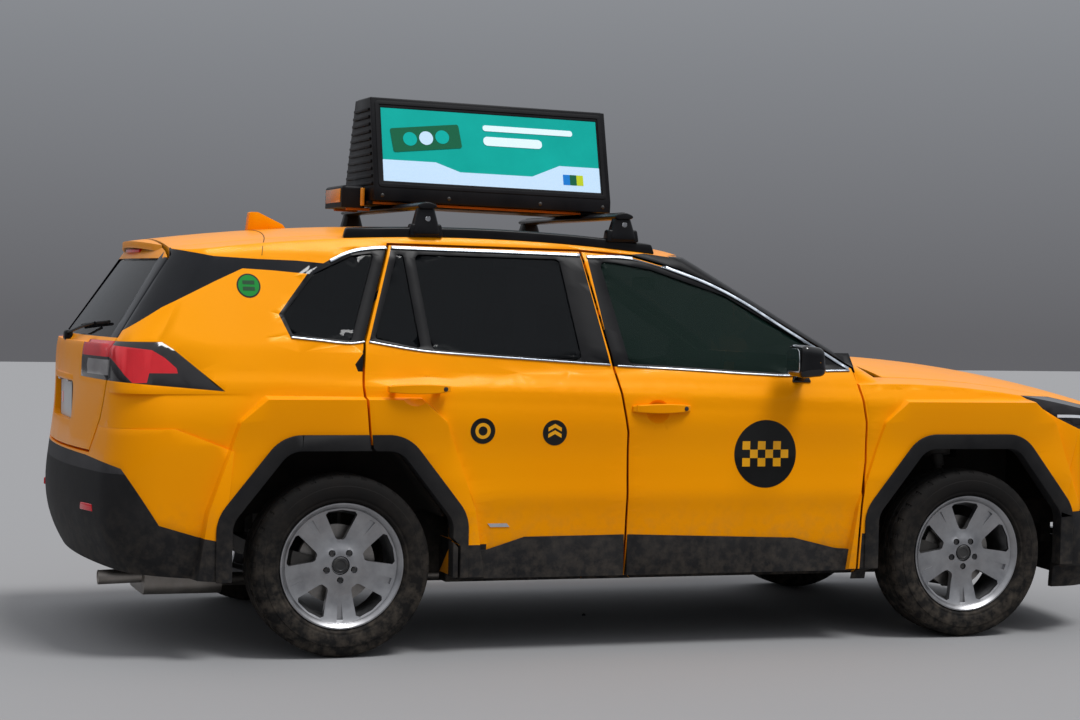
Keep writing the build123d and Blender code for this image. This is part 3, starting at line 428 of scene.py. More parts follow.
def pressedBy(x, y, z, look=pressing):
    # how far a side panel is pressed out at a place
    if abs(y) < 0.8 or z < look["from"] or z > look["to"] or x > 1.9:
        return 0
    share = min(max((1.0 - x) / 2.6, 0), 1)
    shoulder = look["shoulderFront"] + (look["shoulderRear"] - look["shoulderFront"]) * share
    out = look["shoulderOut"] * max(0, 1 - abs(z - shoulder) / look["shoulderWide"])
    out += look["hollow"] * math.exp(-(((z - look["hollowHeight"]) / look["hollowWide"]) ** 2))
    out += look["lowerOut"] * math.exp(-(((z - look["lowerHeight"]) / look["lowerWide"]) ** 2))
    out *= min(1, (z - look["from"]) / 0.06) * min(1, (look["to"] - z) / 0.06) * min(1, (abs(y) - 0.8) / 0.05)
    out *= min(1, max(0, (1.9 - x) / 0.3))
    return min(out, 0) if abs(y) > 0.912 else out


# Where the outer skin of the right side is, so that trim can lie on it
def skinTree(names):
    meshes = bmesh.new()
    for name in names:
        meshes.from_mesh(nodes[name].data)
    tree = BVHTree.FromBMesh(meshes)
    meshes.free()
    return tree


sideNames = ("side_frames", "fenders", "door_front_right", "door_rear_right", "roof_panel", "rear_bumper",
             "rear_bumper_lower", "front_bumper", "glass_front_right", "glass_rear_right", "quarter_glass",
             "tail_lamps", "headlamps", "tailgate", "tailgate_glass", "windscreen", "bonnet")
sideTree = skinTree(sideNames)


def onSide(x, z, lift=0.0):
    # the point of the right side's skin at this place in side view, moved out by lift
    for nudge in (0, 0.006, -0.006, 0.012, -0.012, 0.02, -0.02):
        hit, normal, face, distance = sideTree.ray_cast(Vector((x + nudge, -2, z)), Vector((0, 1, 0)))
        if hit is not None and hit.y < -0.3:
            if normal.y > 0:
                normal = -normal
            return Vector((x, hit.y - pressedBy(x, hit.y, z), z)) + normal * lift
    return Vector((x, -0.6, z))


def along(points, count):
    # the same number of evenly spaced points on any line of points
    lengths = [0]
    for first, second in zip(points, points[1:]):
        lengths.append(lengths[-1] + math.dist(first, second))
    made = []
    for step in range(count):
        target = lengths[-1] * step / (count - 1)
        place = 0
        while place < len(points) - 2 and lengths[place + 1] < target:
            place += 1
        span = lengths[place + 1] - lengths[place]
        share = (target - lengths[place]) / span if span else 0
        made.append(tuple(a + (b - a) * share for a, b in zip(points[place], points[place + 1])))
    return made


def addGrid(columns, rows):
    bpy.ops.object.select_all(action="DESELECT")
    bpy.ops.mesh.primitive_grid_add(x_subdivisions=columns, y_subdivisions=rows, size=1)
    return bpy.context.object


def skinBand(railA, railB, columns=24, rows=2, lift=0.0, thick=0.002, round=0.0, place=onSide):
    # a strip between two lines in side view, laid on the skin and given a thickness outwards
    grid = addGrid(columns, rows)
    first = along(railA, columns + 1)
    second = along(railB, columns + 1)
    for vertex in grid.data.vertices:
        column = int(vertex.co.x * columns + columns / 2 + 0.5)
        share = (vertex.co.y + 0.5)
        x = first[column][0] + (second[column][0] - first[column][0]) * share
        z = first[column][1] + (second[column][1] - first[column][1]) * share
        vertex.co = place(x, z, lift)
    thicken(grid, thick, round)
    return grid


def thicken(piece, thick, round=0.0):
    # a wall that grows outwards, away from the car's middle, with rounded edges
    pickOnly(piece)
    bpy.ops.object.mode_set(mode="EDIT")
    bpy.ops.mesh.select_all(action="SELECT")
    bpy.ops.mesh.normals_make_consistent(inside=False)
    bpy.ops.object.mode_set(mode="OBJECT")
    if piece.data.polygons[0].normal.y > 0:
        bpy.ops.object.mode_set(mode="EDIT")
        bpy.ops.mesh.select_all(action="SELECT")
        bpy.ops.mesh.flip_normals()
        bpy.ops.object.mode_set(mode="OBJECT")
    wall = piece.modifiers.new("wall", "SOLIDIFY")
    wall.thickness = thick
    wall.offset = 1
    if round:
        addBevel(piece, round, 2, 40)
    applyAll(piece)


def mirrorCopy(piece):
    # the same piece on the car's left
    twin = bpy.data.objects.new(piece.name + "_twin", piece.data.copy())
    bpy.context.scene.collection.objects.link(twin)
    pickOnly(twin)
    bpy.ops.transform.mirror(constraint_axis=(False, True, False), orient_type="GLOBAL")
    fixPlace()
    bpy.ops.object.mode_set(mode="EDIT")
    bpy.ops.mesh.select_all(action="SELECT")
    bpy.ops.mesh.normals_make_consistent(inside=False)
    bpy.ops.object.mode_set(mode="OBJECT")
    return twin


def onBothSides(piece, name, body, finish, smooth=35):
    # body has {side} in it where the piece rides on a door or a wheel
    twin = mirrorCopy(piece)
    settle(piece, name + "_right", body.format(side="right"), finish, smooth)
    settle(twin, name + "_left", body.format(side="left"), finish, smooth)


# Window surrounds: black frames, a chrome strip above and below, pillar trims, all on the right side first
windowTrim = {
    "topWidth": 0.012,
    "footWidth": 0.006,
    "chromeLift": 0.0015,
    "chromeThick": 0.004,
    "edge": 0.001,
    # tops of the doors, from the pillar between them
    "frontTop": [(-0.256, 1.5575), (-0.060, 1.5555), (0.148, 1.5010), (0.341, 1.4235),
                 (0.600, 1.2660), (0.836, 1.1195)],
    "frontFoot": [(-0.212, 1.1180), (0.116, 1.1030), (0.438, 1.0870), (0.560, 1.0840),
                  (0.700, 1.1020), (0.836, 1.1060)],
    "rearTop": [(-0.284, 1.5640), (-0.600, 1.5690), (-0.900, 1.5720), (-1.074, 1.5745)],
    "rearFoot": [(-0.222, 1.1210), (-0.340, 1.1270), (-0.700, 1.1475), (-0.955, 1.1630),
                 (-1.000, 1.1670), (-1.205, 1.1990)],
    "quarterTop": [(-1.092, 1.5740), (-1.160, 1.5690), (-1.245, 1.5530), (-1.330, 1.5150), (-1.412, 1.4720)],
    "quarterFoot": [(-1.222, 1.1990), (-1.275, 1.1925), (-1.400, 1.2020), (-1.508, 1.2120), (-1.548, 1.3030)],
}


def offsetLine(points, distance):
    # a line beside another, to its left as it runs
    made = []
    for place, point in enumerate(points):
        before = points[max(place - 1, 0)]
        after = points[min(place + 1, len(points) - 1)]
        dx, dz = after[0] - before[0], after[1] - before[1]
        size = math.hypot(dx, dz) or 1
        made.append((point[0] - dz / size * distance, point[1] + dx / size * distance))
    return made


def rounded(points, count=40):
    # a smooth line through the points, as a spline curve gives it
    data = bpy.data.curves.new("line", "CURVE")
    data.dimensions = "3D"
    spline = data.splines.new("BEZIER")
    spline.bezier_points.add(len(points) - 1)
    for knot, (x, z) in zip(spline.bezier_points, points):
        knot.co = (x, 0, z)
        knot.handle_left_type = "AUTO"
        knot.handle_right_type = "AUTO"
    data.resolution_u = 12
    holder = bpy.data.objects.new("line", data)
    mesh = bpy.data.meshes.new_from_object(holder)
    line = [(vertex.co.x, vertex.co.z) for vertex in mesh.vertices]
    bpy.data.objects.remove(holder)
    bpy.data.meshes.remove(mesh)
    return along(line, count)


def sideStrip(name, line, width, lift, thick, edge, columns=40, rows=1, shift=0.0):
    smooth = rounded(line, columns + 1)
    railA = offsetLine(smooth, shift - width / 2)
    railB = offsetLine(smooth, shift + width / 2)
    strip = skinBand(railA, railB, columns, rows, lift, thick, edge)
    strip.name = name
    return strip


frontSurround = windowTrim["frontTop"] + windowTrim["frontFoot"][::-1]
rearSurround = windowTrim["rearTop"] + windowTrim["rearFoot"][::-1]
quarterSurround = windowTrim["quarterTop"] + windowTrim["quarterFoot"][::-1]


def addWindowTrim(look):
    edge = look["edge"]
    bars = {
        "front": ("frontTop", "frontFoot"),
        "rear": ("rearTop", "rearFoot"),
        "quarter": ("quarterTop", "quarterFoot"),
    }
    for part, lines in bars.items():
        body = "body" if part == "quarter" else "door_" + part + "_{side}"
        for count, outer in enumerate(lines):
            line = look[outer][:-1] if part == "quarter" else look[outer]
            width = look["footWidth"] if count else look["topWidth"]
            inward = width * (-0.45 if outer.endswith("Top") == (part == "front") else 0.45)
            strip = sideStrip("strip", line, width, look["chromeLift"], look["chromeThick"], edge, 48, 1, inward)
            onBothSides(strip, f"{part}Chrome{count}", body, satinTrim)


# Black areas on the body, in side view
blackAreas = {
    "rearPillar": [(-2.30, 1.200), (-2.175, 1.200), (-2.145, 1.220), (-1.990, 1.321), (-1.780, 1.425), (-1.673, 1.475),
                   (-1.560, 1.470), (-1.400, 1.458), (-1.330, 1.500), (-1.460, 1.510), (-1.611, 1.513), (-1.780, 1.520),
                   (-1.925, 1.545), (-1.935, 1.70), (-2.30, 1.70)],
}

def pressSides(piece, look=pressing):
    cutLevels(piece, look["from"], look["to"], look["step"])
    for vertex in piece.data.vertices:
        x, y, z = vertex.co
        vertex.co.y += pressedBy(x, y, z) * (1 if y > 0 else -1)


def shapeDoor(piece, surround):
    pressSides(piece)
    cutOutline(piece, surround)
    cutOutline(piece, [(-1.3, 0.1), (-0.742, 0.1), (-0.742, 0.425), (-1.3, 0.425)])
    finishByPlace(piece, [
        (paint, lambda place, facing: True),
        (cladding, lambda place, facing: place.z < 0.425 and place.x < -0.742),
        (trimBlack, lambda place, facing: inOutline(place.x, place.z, surround)),
        (doorCard, lambda place, facing: abs(place.y) < 0.792 and facing.y * place.y < 0),
        (lowTrim, lambda place, facing: place.z < 0.30),
    ])


def shapeSideFrames(piece):
    pressSides(piece)
    for outline in (quarterSurround, blackAreas["rearPillar"]):
        cutOutline(piece, outline)
    finishByPlace(piece, [
        (paint, lambda place, facing: True),
        (doorCard, lambda place, facing: abs(place.y) < 0.792 and facing.y * place.y < -0.3 * abs(place.y)),
        (trimBlack, lambda place, facing: inOutline(place.x, place.z, quarterSurround) or (
            1.10 < place.z < 1.566 and -1.226 + (place.z - 1.199) * 0.347 < place.x < 0.86)),
        (blackGloss, lambda place, facing: inOutline(place.x, place.z, blackAreas["rearPillar"])),
        (lowTrim, lambda place, facing: place.z < 0.405 and abs(place.y) < 0.80),
    ])


def shapeFenders(piece):
    pressSides(piece)
    cutOutline(piece, [(0.8, 0.1), (0.962, 0.1), (0.962, 0.445), (0.8, 0.445)])
    finishByPlace(piece, [
        (paint, lambda place, facing: True),
        (cladding, lambda place, facing: place.z < 0.445 and place.x < 0.962),
        (lowTrim, lambda place, facing: facing.y * place.y < -0.2),
    ])


def dressShaped(node, name, body, shape, bevel=0.0, smooth=32):
    # a copy whose faces already have their finishes
    piece = copyNode(node, name)
    shape(piece)
    if bevel:
        addBevel(piece, bevel)
        applyAll(piece)
    settle(piece, name, body, None, smooth)
    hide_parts(node)
    return piece


# Dressed CAD nodes: name of node, body, finish, slot, bevel width
bodyNodes = {
    "floor_pan": (underPaint, "floor_paint", 0.0),
    "roof_panel": (paint, "taxi_paint", 0.0015),
    "cowl": (cladding, "black_cladding", 0.0015),
    "front_bumper": (paint, "taxi_paint", 0.0015),
    "front_bumper_lower": (cladding, "black_cladding", 0.002),
    "grilles": (blackGloss, "black_cladding", 0.0015),
    "headlamps": (lampDark, "clear_lens", 0.0015),
    "rear_bumper": (paint, "taxi_paint", 0.0015),
    "windscreen": (windowGlass, "window_glass", 0.0),
    "quarter_glass": (privacyGlass, "window_glass", 0.0),
    "arch_bands": (cladding, "black_cladding", 0.004),
    "roof_rails": (rackBlack, "rack_black", 0.006),
    "display_tray": (displayBlack, "display_black", 0.002),
    "display_box": (displayBlack, "display_black", 0.003),
    "display_screens": (screenLit, "display_panel", 0.0),
    "shark_fin": (paint, "taxi_paint", 0.002),
    "dashboard": (dashPlastic, "dash_plastic", 0.004),
    "engine": (castMetal, "cast_metal", 0.01),
    "fuel_tank": (underPaint, "floor_paint", 0.01),
    "exhaust": (exhaustSteel, "exhaust_steel", 0.001),
    "front_suspension": (castMetal, "cast_metal", 0.002),
    "rear_suspension": (castMetal, "cast_metal", 0.002),
}
for node, (finish, slot, bevel) in bodyNodes.items():
    dressNode(node, node + "_made", "body", finish, bevel)
dressShaped("side_frames", "side_frames_made", "body", shapeSideFrames, 0.0012)
dressShaped("fenders", "fenders_made", "body", shapeFenders, 0.0015)
print("stage: body")

dressNode("bonnet", "bonnet_made", "bonnet", paint, 0.002)
dressNode("tailgate_glass", "tailgate_glass_made", "tailgate", privacyGlass)
for side, sign in sides:
    for end in ("front", "rear"):
        door = f"door_{end}_{side}"
        glass = windowGlass if end == "front" else privacyGlass
        surround = frontSurround if end == "front" else rearSurround
        dressShaped(door, door + "_made", door, lambda piece: shapeDoor(piece, surround), 0.0012)
        dressNode(f"glass_{end}_{side}", f"glass_{end}_{side}_made", door, glass)
        dressNode(f"cladding_{end}_{side}", f"cladding_{end}_{side}_made", door, cladding, 0.003)
    dressNode(f"knuckle_{side}", f"knuckle_{side}_made", f"knuckle_{side}", castMetal, 0.002)
print("stage: moving panels and wheels")

addWindowTrim(windowTrim)
print("stage: window trim")


# Wheels, modelled once at the middle of the car and copied to the four hubs
wheelShape = {
    "steps": 80,
    "spokes": 5,
    "faceOut": 0.062,
    "faceRadius": 0.226,
    "windowInner": 0.098,
    "windowOuter": 0.206,
    "windowInnerHalf": 0.020,
    "windowOuterHalf": 0.062,
    "capRadius": 0.031,
    "nutCircle": 0.057,
    "nutRadius": 0.0105,
    # rim section, from its inner side to the street side: distance out and radius
    "rimSection": [(-0.095, 0.217), (-0.095, 0.241), (-0.090, 0.243), (-0.085, 0.240), (-0.080, 0.228), (-0.062, 0.226),
                   (-0.045, 0.210), (0.020, 0.208), (0.048, 0.226), (0.082, 0.229), (0.087, 0.2405), (0.0915, 0.243),
                   (0.095, 0.241), (0.095, 0.236), (0.091, 0.2315), (0.086, 0.224), (0.070, 0.216), (0.040, 0.204),
                   (0.016, 0.198), (-0.046, 0.199), (-0.066, 0.215), (-0.088, 0.2165)],
    # tyre section, from one bead round to the other
    "tyreSection": [(0.0825, 0.227), (0.089, 0.244), (0.099, 0.2495), (0.1035, 0.254), (0.1045, 0.262),
                    (0.1065, 0.2640), (0.1090, 0.272), (0.1115, 0.285), (0.1125, 0.296), (0.1118, 0.306),
                    (0.1095, 0.3085), (0.1085, 0.316), (0.1060, 0.326), (0.1010, 0.3365), (0.0930, 0.3435),
                    (0.0830, 0.3468), (0.0660, 0.3485), (0.0625, 0.3485), (0.0610, 0.3425), (0.0560, 0.3425),
                    (0.0545, 0.3490), (0.0260, 0.3498), (0.0245, 0.3435), (0.0185, 0.3435), (0.0170, 0.3500)],
}


def lineMesh(name, points):
    # an open line of edges in the plane of distance out and radius
    data = bpy.data.curves.new(name, "CURVE")
    data.dimensions = "3D"
    spline = data.splines.new("POLY")
    spline.points.add(len(points) - 1)
    for point, (out, radius) in zip(spline.points, points):
        point.co = (0, -out, radius, 1)
    holder = bpy.data.objects.new(name, data)
    bpy.context.scene.collection.objects.link(holder)
    pickOnly(holder)
    bpy.ops.object.convert(target="MESH")
    return bpy.context.object


def turnedPiece(name, points, steps, closed=True):
    piece = lineMesh(name, points + points[:1] if closed else points)
    screw = piece.modifiers.new("turn", "SCREW")
    screw.axis = "Y"
    screw.steps = steps
    screw.render_steps = steps
    screw.use_merge_vertices = True
    screw.merge_threshold = 0.0001
    applyAll(piece)
    tidyMesh(piece)
    return piece


def outlineSolid(name, points, near, far, edge=0.0):
    # an outline in side view, x and z, given a depth along the car's width
    data = bpy.data.curves.new(name, "CURVE")
    data.dimensions = "2D"
    data.fill_mode = "BOTH"
    data.extrude = abs(far - near) / 2 - edge
    data.bevel_depth = edge
    data.offset = -edge
    spline = data.splines.new("POLY")
    spline.points.add(len(points) - 1)
    for point, (x, z) in zip(spline.points, points):
        point.co = (x, z, 0, 1)
    spline.use_cyclic_u = True
    holder = bpy.data.objects.new(name, data)
    bpy.context.scene.collection.objects.link(holder)
    pickOnly(holder)
    bpy.ops.object.convert(target="MESH")
    made = bpy.context.object
    made.rotation_euler = (math.radians(90), 0, 0)
    made.location = (0, (near + far) / 2, 0)
    fixPlace()
    tidyMesh(made)
    return made


def cutAway(piece, cutter):
    cut = piece.modifiers.new("cut", "BOOLEAN")
    cut.operation = "DIFFERENCE"
    cut.solver = "EXACT"
    cut.object = cutter
    applyAll(piece)
    bpy.data.objects.remove(cutter)


def turnAbout(piece, degrees):
    pickOnly(piece)
    piece.rotation_euler = (0, math.radians(degrees), 0)
    fixPlace()


def copyOf(piece):
    twin = bpy.data.objects.new(piece.name + "_copy", piece.data.copy())
    bpy.context.scene.collection.objects.link(twin)
    return twin


def modelWheel(look):
    steps, out = look["steps"], look["faceOut"]
    rim = turnedPiece("rim", look["rimSection"], steps)
    face = turnedPiece("face", [(out - 0.030, 0.0), (out - 0.030, 0.060), (out - 0.032, 0.100), (out - 0.020, 0.200),
                                (out - 0.006, look["faceRadius"]), (out + 0.018, look["faceRadius"]),
                                (out + 0.008, 0.205), (out - 0.004, 0.130), (out - 0.003, 0.080), (out + 0.004, 0.066),
                                (out + 0.006, 0.036), (out - 0.002, 0.033), (out - 0.002, 0.0)], steps, False)
    windows = []
    grooves = []
    inner, outer = look["windowInner"], look["windowOuter"]
    narrow, wide = look["windowInnerHalf"], look["windowOuterHalf"]
    for count in range(look["spokes"]):
        turn = 360 * count / look["spokes"]
        opening = outlineSolid("opening", [(-narrow, inner + 0.008), (-narrow * 0.6, inner), (narrow * 0.6, inner),
                                           (narrow, inner + 0.008), (wide, outer - 0.012), (wide * 0.86, outer),
                                           (0, outer + 0.008), (-wide * 0.86, outer),
                                           (-wide, outer - 0.012)], 0.02, -0.12)
        turnAbout(opening, turn)
        windows.append(opening)
        groove = outlineSolid("groove", [(-0.005, 0.098), (0.005, 0.098), (0.012, 0.208), (-0.012, 0.208)],
                              -(out - 0.002), -0.12)
        turnAbout(groove, turn + 180 / look["spokes"])
        grooves.append(groove)
        hole = outlineSolid("hole", ringPoints(0, look["nutCircle"], 0.0135, 16), -(out - 0.012), -0.12)
        turnAbout(hole, turn + 180 / look["spokes"])
        grooves.append(hole)
    cutAway(face, joinPieces(windows))
    cutAway(face, joinPieces(grooves))
    addBevel(face, 0.0022, 2, 30)
    applyAll(face)
    nuts = []
    for count in range(look["spokes"]):
        nut = outlineSolid("nut", ringPoints(0, look["nutCircle"], look["nutRadius"], 6), -(out - 0.016),
                           -(out + 0.001), 0.001)
        turnAbout(nut, 360 * (count + 0.5) / look["spokes"])
        nuts.append(nut)
    cap = turnedPiece("cap", [(out - 0.004, 0.0), (out - 0.004, look["capRadius"]), (out + 0.004, look["capRadius"]),
                              (out + 0.007, look["capRadius"] - 0.003), (out + 0.0075, 0.020), (out + 0.006, 0.018),
                              (out + 0.006, 0.0)], 48, False)
    nuts.append(cap)
    disc = turnedPiece("disc", [(-0.025, 0.060), (-0.025, 0.152), (-0.016, 0.152), (-0.016, 0.147), (-0.010, 0.147),
                                (-0.010, 0.152), (-0.001, 0.152), (-0.001, 0.084), (0.022, 0.078), (0.030, 0.072),
                                (0.030, 0.036), (-0.018, 0.036), (-0.018, 0.060)], 64)
    tyre = turnedPiece("tyre", look["tyreSection"] + [(-a, r) for a, r in look["tyreSection"][::-1]] +
                       [(-0.078, 0.240), (-0.098, 0.290), (-0.088, 0.330), (0.088, 0.330), (0.098, 0.290),
                        (0.078, 0.240)], 96)
    pressTread(tyre)
    return {"rim": rim, "face": face, "nuts": joinPieces(nuts), "disc": disc, "tyre": tyre}


def ringPoints(x, z, radius, count):
    return [(x + radius * math.sin(2 * math.pi * step / count), z + radius * math.cos(2 * math.pi * step / count))
            for step in range(count)]


def pressTread(tyre):
    # cross grooves: every third row of shoulder faces is pushed in
    mesh = bmesh.new()
    mesh.from_mesh(tyre.data)
    chosen = []
    for face in mesh.faces:
        middle = face.calc_center_median()
        radius = math.hypot(middle.x, middle.z)
        turn = math.degrees(math.atan2(middle.x, middle.z)) % 360
        row = int(turn / 3.75)
        shoulder = 0.060 < abs(middle.y) < 0.103 and radius > 0.3385
        inner = 0.0255 < abs(middle.y) < 0.056 and radius > 0.346
        if (shoulder and row % 3 == 0) or (inner and row % 3 == 1 and (middle.y > 0) == (row % 2 == 0)):
            chosen.append(face)
    for face in chosen:
        bmesh.ops.inset_individual(mesh, faces=[face], thickness=0.0022, depth=0)
        for vertex in face.verts:
            radius = math.hypot(vertex.co.x, vertex.co.z)
            vertex.co.x *= (radius - 0.0045) / radius
            vertex.co.z *= (radius - 0.0045) / radius
    mesh.to_mesh(tyre.data)
    mesh.free()


def addWheels(look):
    master = modelWheel(look)
    finishes = {"rim": alloy, "face": alloy, "nuts": alloyDark, "disc": brakeSteel, "tyre": rubber}
    hubs = {"front": 1.373, "rear": -1.317}
    for end, x in hubs.items():
        for side, sign in sides:
            for part, piece in master.items():
                twin = copyOf(piece)
                pickOnly(twin)
                if sign > 0:
                    twin.rotation_euler = (0, 0, math.pi)
                twin.location = (x, sign * 0.8, 0.35)
                settle(twin, f"{part}_{end}_{side}_shown", f"wheel_{end}_{side}", finishes[part], 30)
                if part == "tyre":
                    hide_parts(f"tyre_{end}_{side}")
                if part == "face":
                    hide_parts(f"rim_{end}_{side}")
    for piece in master.values():
        bpy.data.objects.remove(piece)


addWheels(wheelShape)
print("stage: wheels")


# Shaped pieces that several parts use
def shapedBlock(low, high, round, segments=3, top=(1, 1), ends=(1, 1), cuts=0, shift=(0, 0)):
    # a block whose top or ends are drawn in, with all its edges rounded
    size = [high[axis] - low[axis] for axis in range(3)]
    middle = [(high[axis] + low[axis]) / 2 for axis in range(3)]
    bpy.ops.object.select_all(action="DESELECT")
    bpy.ops.mesh.primitive_cube_add(size=1, location=middle)
    piece = bpy.context.object
    piece.scale = size
    fixPlace()
    if cuts:
        bpy.ops.object.mode_set(mode="EDIT")
        bpy.ops.mesh.select_all(action="SELECT")
        bpy.ops.mesh.subdivide(number_cuts=cuts)
        bpy.ops.object.mode_set(mode="OBJECT")
    for vertex in piece.data.vertices:
        upward = (vertex.co.z - low[2]) / size[2]
        outward = abs(vertex.co.x - middle[0]) / (size[0] / 2)
        drawX = 1 + (top[0] - 1) * upward
        drawY = (1 + (top[1] - 1) * upward) * (1 + (ends[0] - 1) * outward ** 2)
        drawZ = 1 + (ends[1] - 1) * outward ** 2
        vertex.co.x = middle[0] + (vertex.co.x - middle[0]) * drawX + shift[0] * upward
        vertex.co.y = middle[1] + (vertex.co.y - middle[1]) * drawY + shift[1] * upward
        vertex.co.z = middle[2] + (vertex.co.z - middle[2]) * drawZ
    addBevel(piece, round, segments, 25)
    applyAll(piece)
    return piece


def tubePiece(points, radius, resolution=3, smooth=True):
    # a round bar that follows a line through the points
    data = bpy.data.curves.new("tube", "CURVE")
    data.dimensions = "3D"
    data.bevel_depth = radius
    data.bevel_resolution = resolution
    data.use_fill_caps = True
    data.resolution_u = 8
    kind = "BEZIER" if smooth else "POLY"
    spline = data.splines.new(kind)
    if smooth:
        spline.bezier_points.add(len(points) - 1)
        for knot, point in zip(spline.bezier_points, points):
            knot.co = point
            knot.handle_left_type = "AUTO"
            knot.handle_right_type = "AUTO"
    else:
        spline.points.add(len(points) - 1)
        for knot, point in zip(spline.points, points):
            knot.co = (*point, 1)
    holder = bpy.data.objects.new("tube", data)
    bpy.context.scene.collection.objects.link(holder)
    pickOnly(holder)
    bpy.ops.object.convert(target="MESH")
    return bpy.context.object


def discOn(x, z, radius, lift, thick, steps=48, place=None, inner=0.0):
    # a thin round patch that lies on the skin
    rings = [(0.0, inner + (radius - inner) * share / 4) for share in range(5)]
    disc = turnedPiece("disc", rings, steps, False)
    for vertex in disc.data.vertices:
        vertex.co = (place or onSide)(x + vertex.co.x, z + vertex.co.z, lift)
    thicken(disc, thick, 0)
    return disc


def patchOn(outline, lift, thick, columns=4, rows=4, place=None):
    # a thin four-cornered patch that lies on the skin, its corners in order round it
    a, b, c, d = outline
    return skinBand([a, b], [d, c], columns, rows, lift, thick, 0, place or onSide)


# Round markings on the doors: plain motifs, nothing lettered
markings = {
    "lift": 0.0006,
    "thick": 0.0005,
    "bigDisc": (0.432, 0.773, 0.137),
    "smallDiscs": [(-0.769, 0.866, 0.050), (-0.474, 0.859, 0.050)],
    "greenDisc": (-1.655, 1.409, 0.046),
    "checker": 0.034,
    "bar": (-0.742, -0.652, 0.492, 0.506),
}


def addMarkings(look):
    lift, thick = look["lift"], look["thick"]
    x, z, radius = look["bigDisc"]
    onBothSides(discOn(x, z, radius, lift, thick, 72), "bigDisc", "door_front_{side}", decalBlack)
    squares = []
    step = look["checker"]
    for row in range(3):
        for column in range(6):
            if (row + column) % 2:
                continue
            left = x - 3 * step + column * step
            foot = z - 1.5 * step + row * step
            squares.append(patchOn([(left, foot), (left + step, foot), (left + step, foot + step), (left, foot + step)],
                                   lift + thick + 0.0003, 0.0003, 2, 2))
    onBothSides(joinPieces(squares), "bigChecker", "door_front_{side}", decalYellow)
    for count, (x, z, radius) in enumerate(look["smallDiscs"]):
        onBothSides(discOn(x, z, radius, lift, thick, 48), f"smallDisc{count}", "door_rear_{side}", decalBlack)
        if count == 0:
            marks = [discOn(x, z, radius * 0.62, lift + thick + 0.0003, 0.0003, 32, inner=radius * 0.36)]
        else:
            marks = []
            for rise in (-0.4, 0.1):
                foot = z + radius * rise
                wide, deep = radius * 0.55, radius * 0.3
                marks.append(patchOn([(x - wide, foot), (x, foot + deep), (x, foot + 2 * deep),
                                      (x - wide, foot + deep)],
                                     lift + thick + 0.0003, 0.0003, 3, 2))
                marks.append(patchOn([(x, foot + deep), (x + wide, foot), (x + wide, foot + deep),
                                      (x, foot + 2 * deep)],
                                     lift + thick + 0.0003, 0.0003, 3, 2))
        onBothSides(joinPieces(marks), f"smallMark{count}", "door_rear_{side}", decalYellow)
    x, z, radius = look["greenDisc"]
    rim = discOn(x, z, radius, lift, thick, 48)
    settle(rim, "greenRim", "body", decalBlack)
    inner = discOn(x, z, radius * 0.88, lift + thick + 0.0003, 0.0003, 48)
    settle(inner, "greenDisc", "body", decalGreen)
    bars = [patchOn([(x - radius * wide, z + radius * low), (x + radius * wide, z + radius * low),
                     (x + radius * wide, z + radius * high), (x - radius * wide, z + radius * high)],
                    lift + thick + 0.0009, 0.0003, 3, 2) for wide, low, high in ((0.5, 0.1, 0.42), (0.5, -0.42, -0.1))]
    settle(joinPieces(bars), "greenBars", "body", decalDark)
    left, right, foot, head = look["bar"]
    badge = [(left + 0.012, foot), (right, foot), (right - 0.012, head), (left, head)]
    onBothSides(patchOn(badge, 0.0008, 0.0016, 6, 2),
                "trimBadge", "door_rear_{side}", chrome)


# Door handles: a cup, a curved grip with drawn-in ends and a lock cap
handleLook = {
    "front": {"x": (-0.150, 0.098), "z": (0.935, 0.972)},
    "rear": {"x": (-1.156, -0.910), "z": (1.008, 1.045)},
    "deep": 0.036,
    "sunk": 0.006,
}


def addHandles(look):
    for end in ("front", "rear"):
        plan = look[end]
        (x0, x1), (z0, z1) = plan["x"], plan["z"]
        skin = [onSide(x, (z0 + z1) / 2, 0)[1] for x in (x0 + 0.02, x1 - 0.02)]
        y = max(skin) + look["sunk"]
        grip = shapedBlock((x0, y - look["deep"], z0), (x1, y, z1), 0.013, 5, (1, 1), (0.75, 0.62), 6)
        for vertex in grip.data.vertices:
            share = (vertex.co.x - x0) / (x1 - x0)
            vertex.co.y += 0.016 * (2 * share - 1) ** 4
            vertex.co.z += 0.003 * share
        onBothSides(grip, f"{end}Grip", f"door_{end}_{{side}}", paint, 60)
        cap = turnedPiece("cap", [(0.0, 0.0), (0.0, 0.0075), (-0.001, 0.0085), (-0.004, 0.0088)], 24, False)
        pickOnly(cap)
        cap.location = (x1 - 0.024, y - look["deep"] + 0.0045, (z0 + z1) / 2 + 0.002)
        onBothSides(cap, f"{end}Lock", f"door_{end}_{{side}}", alloyDark)


# Mirrors: a two-part housing, the glass in its rim, a lamp strip and a foot on the door
mirrorLook = {
    "low": (0.506, -1.092, 1.083),
    "high": (0.625, -0.912, 1.222),
    "foot": [(0.590, -0.930, 1.100), (0.598, -0.880, 1.084), (0.612, -0.850, 1.076)],
}


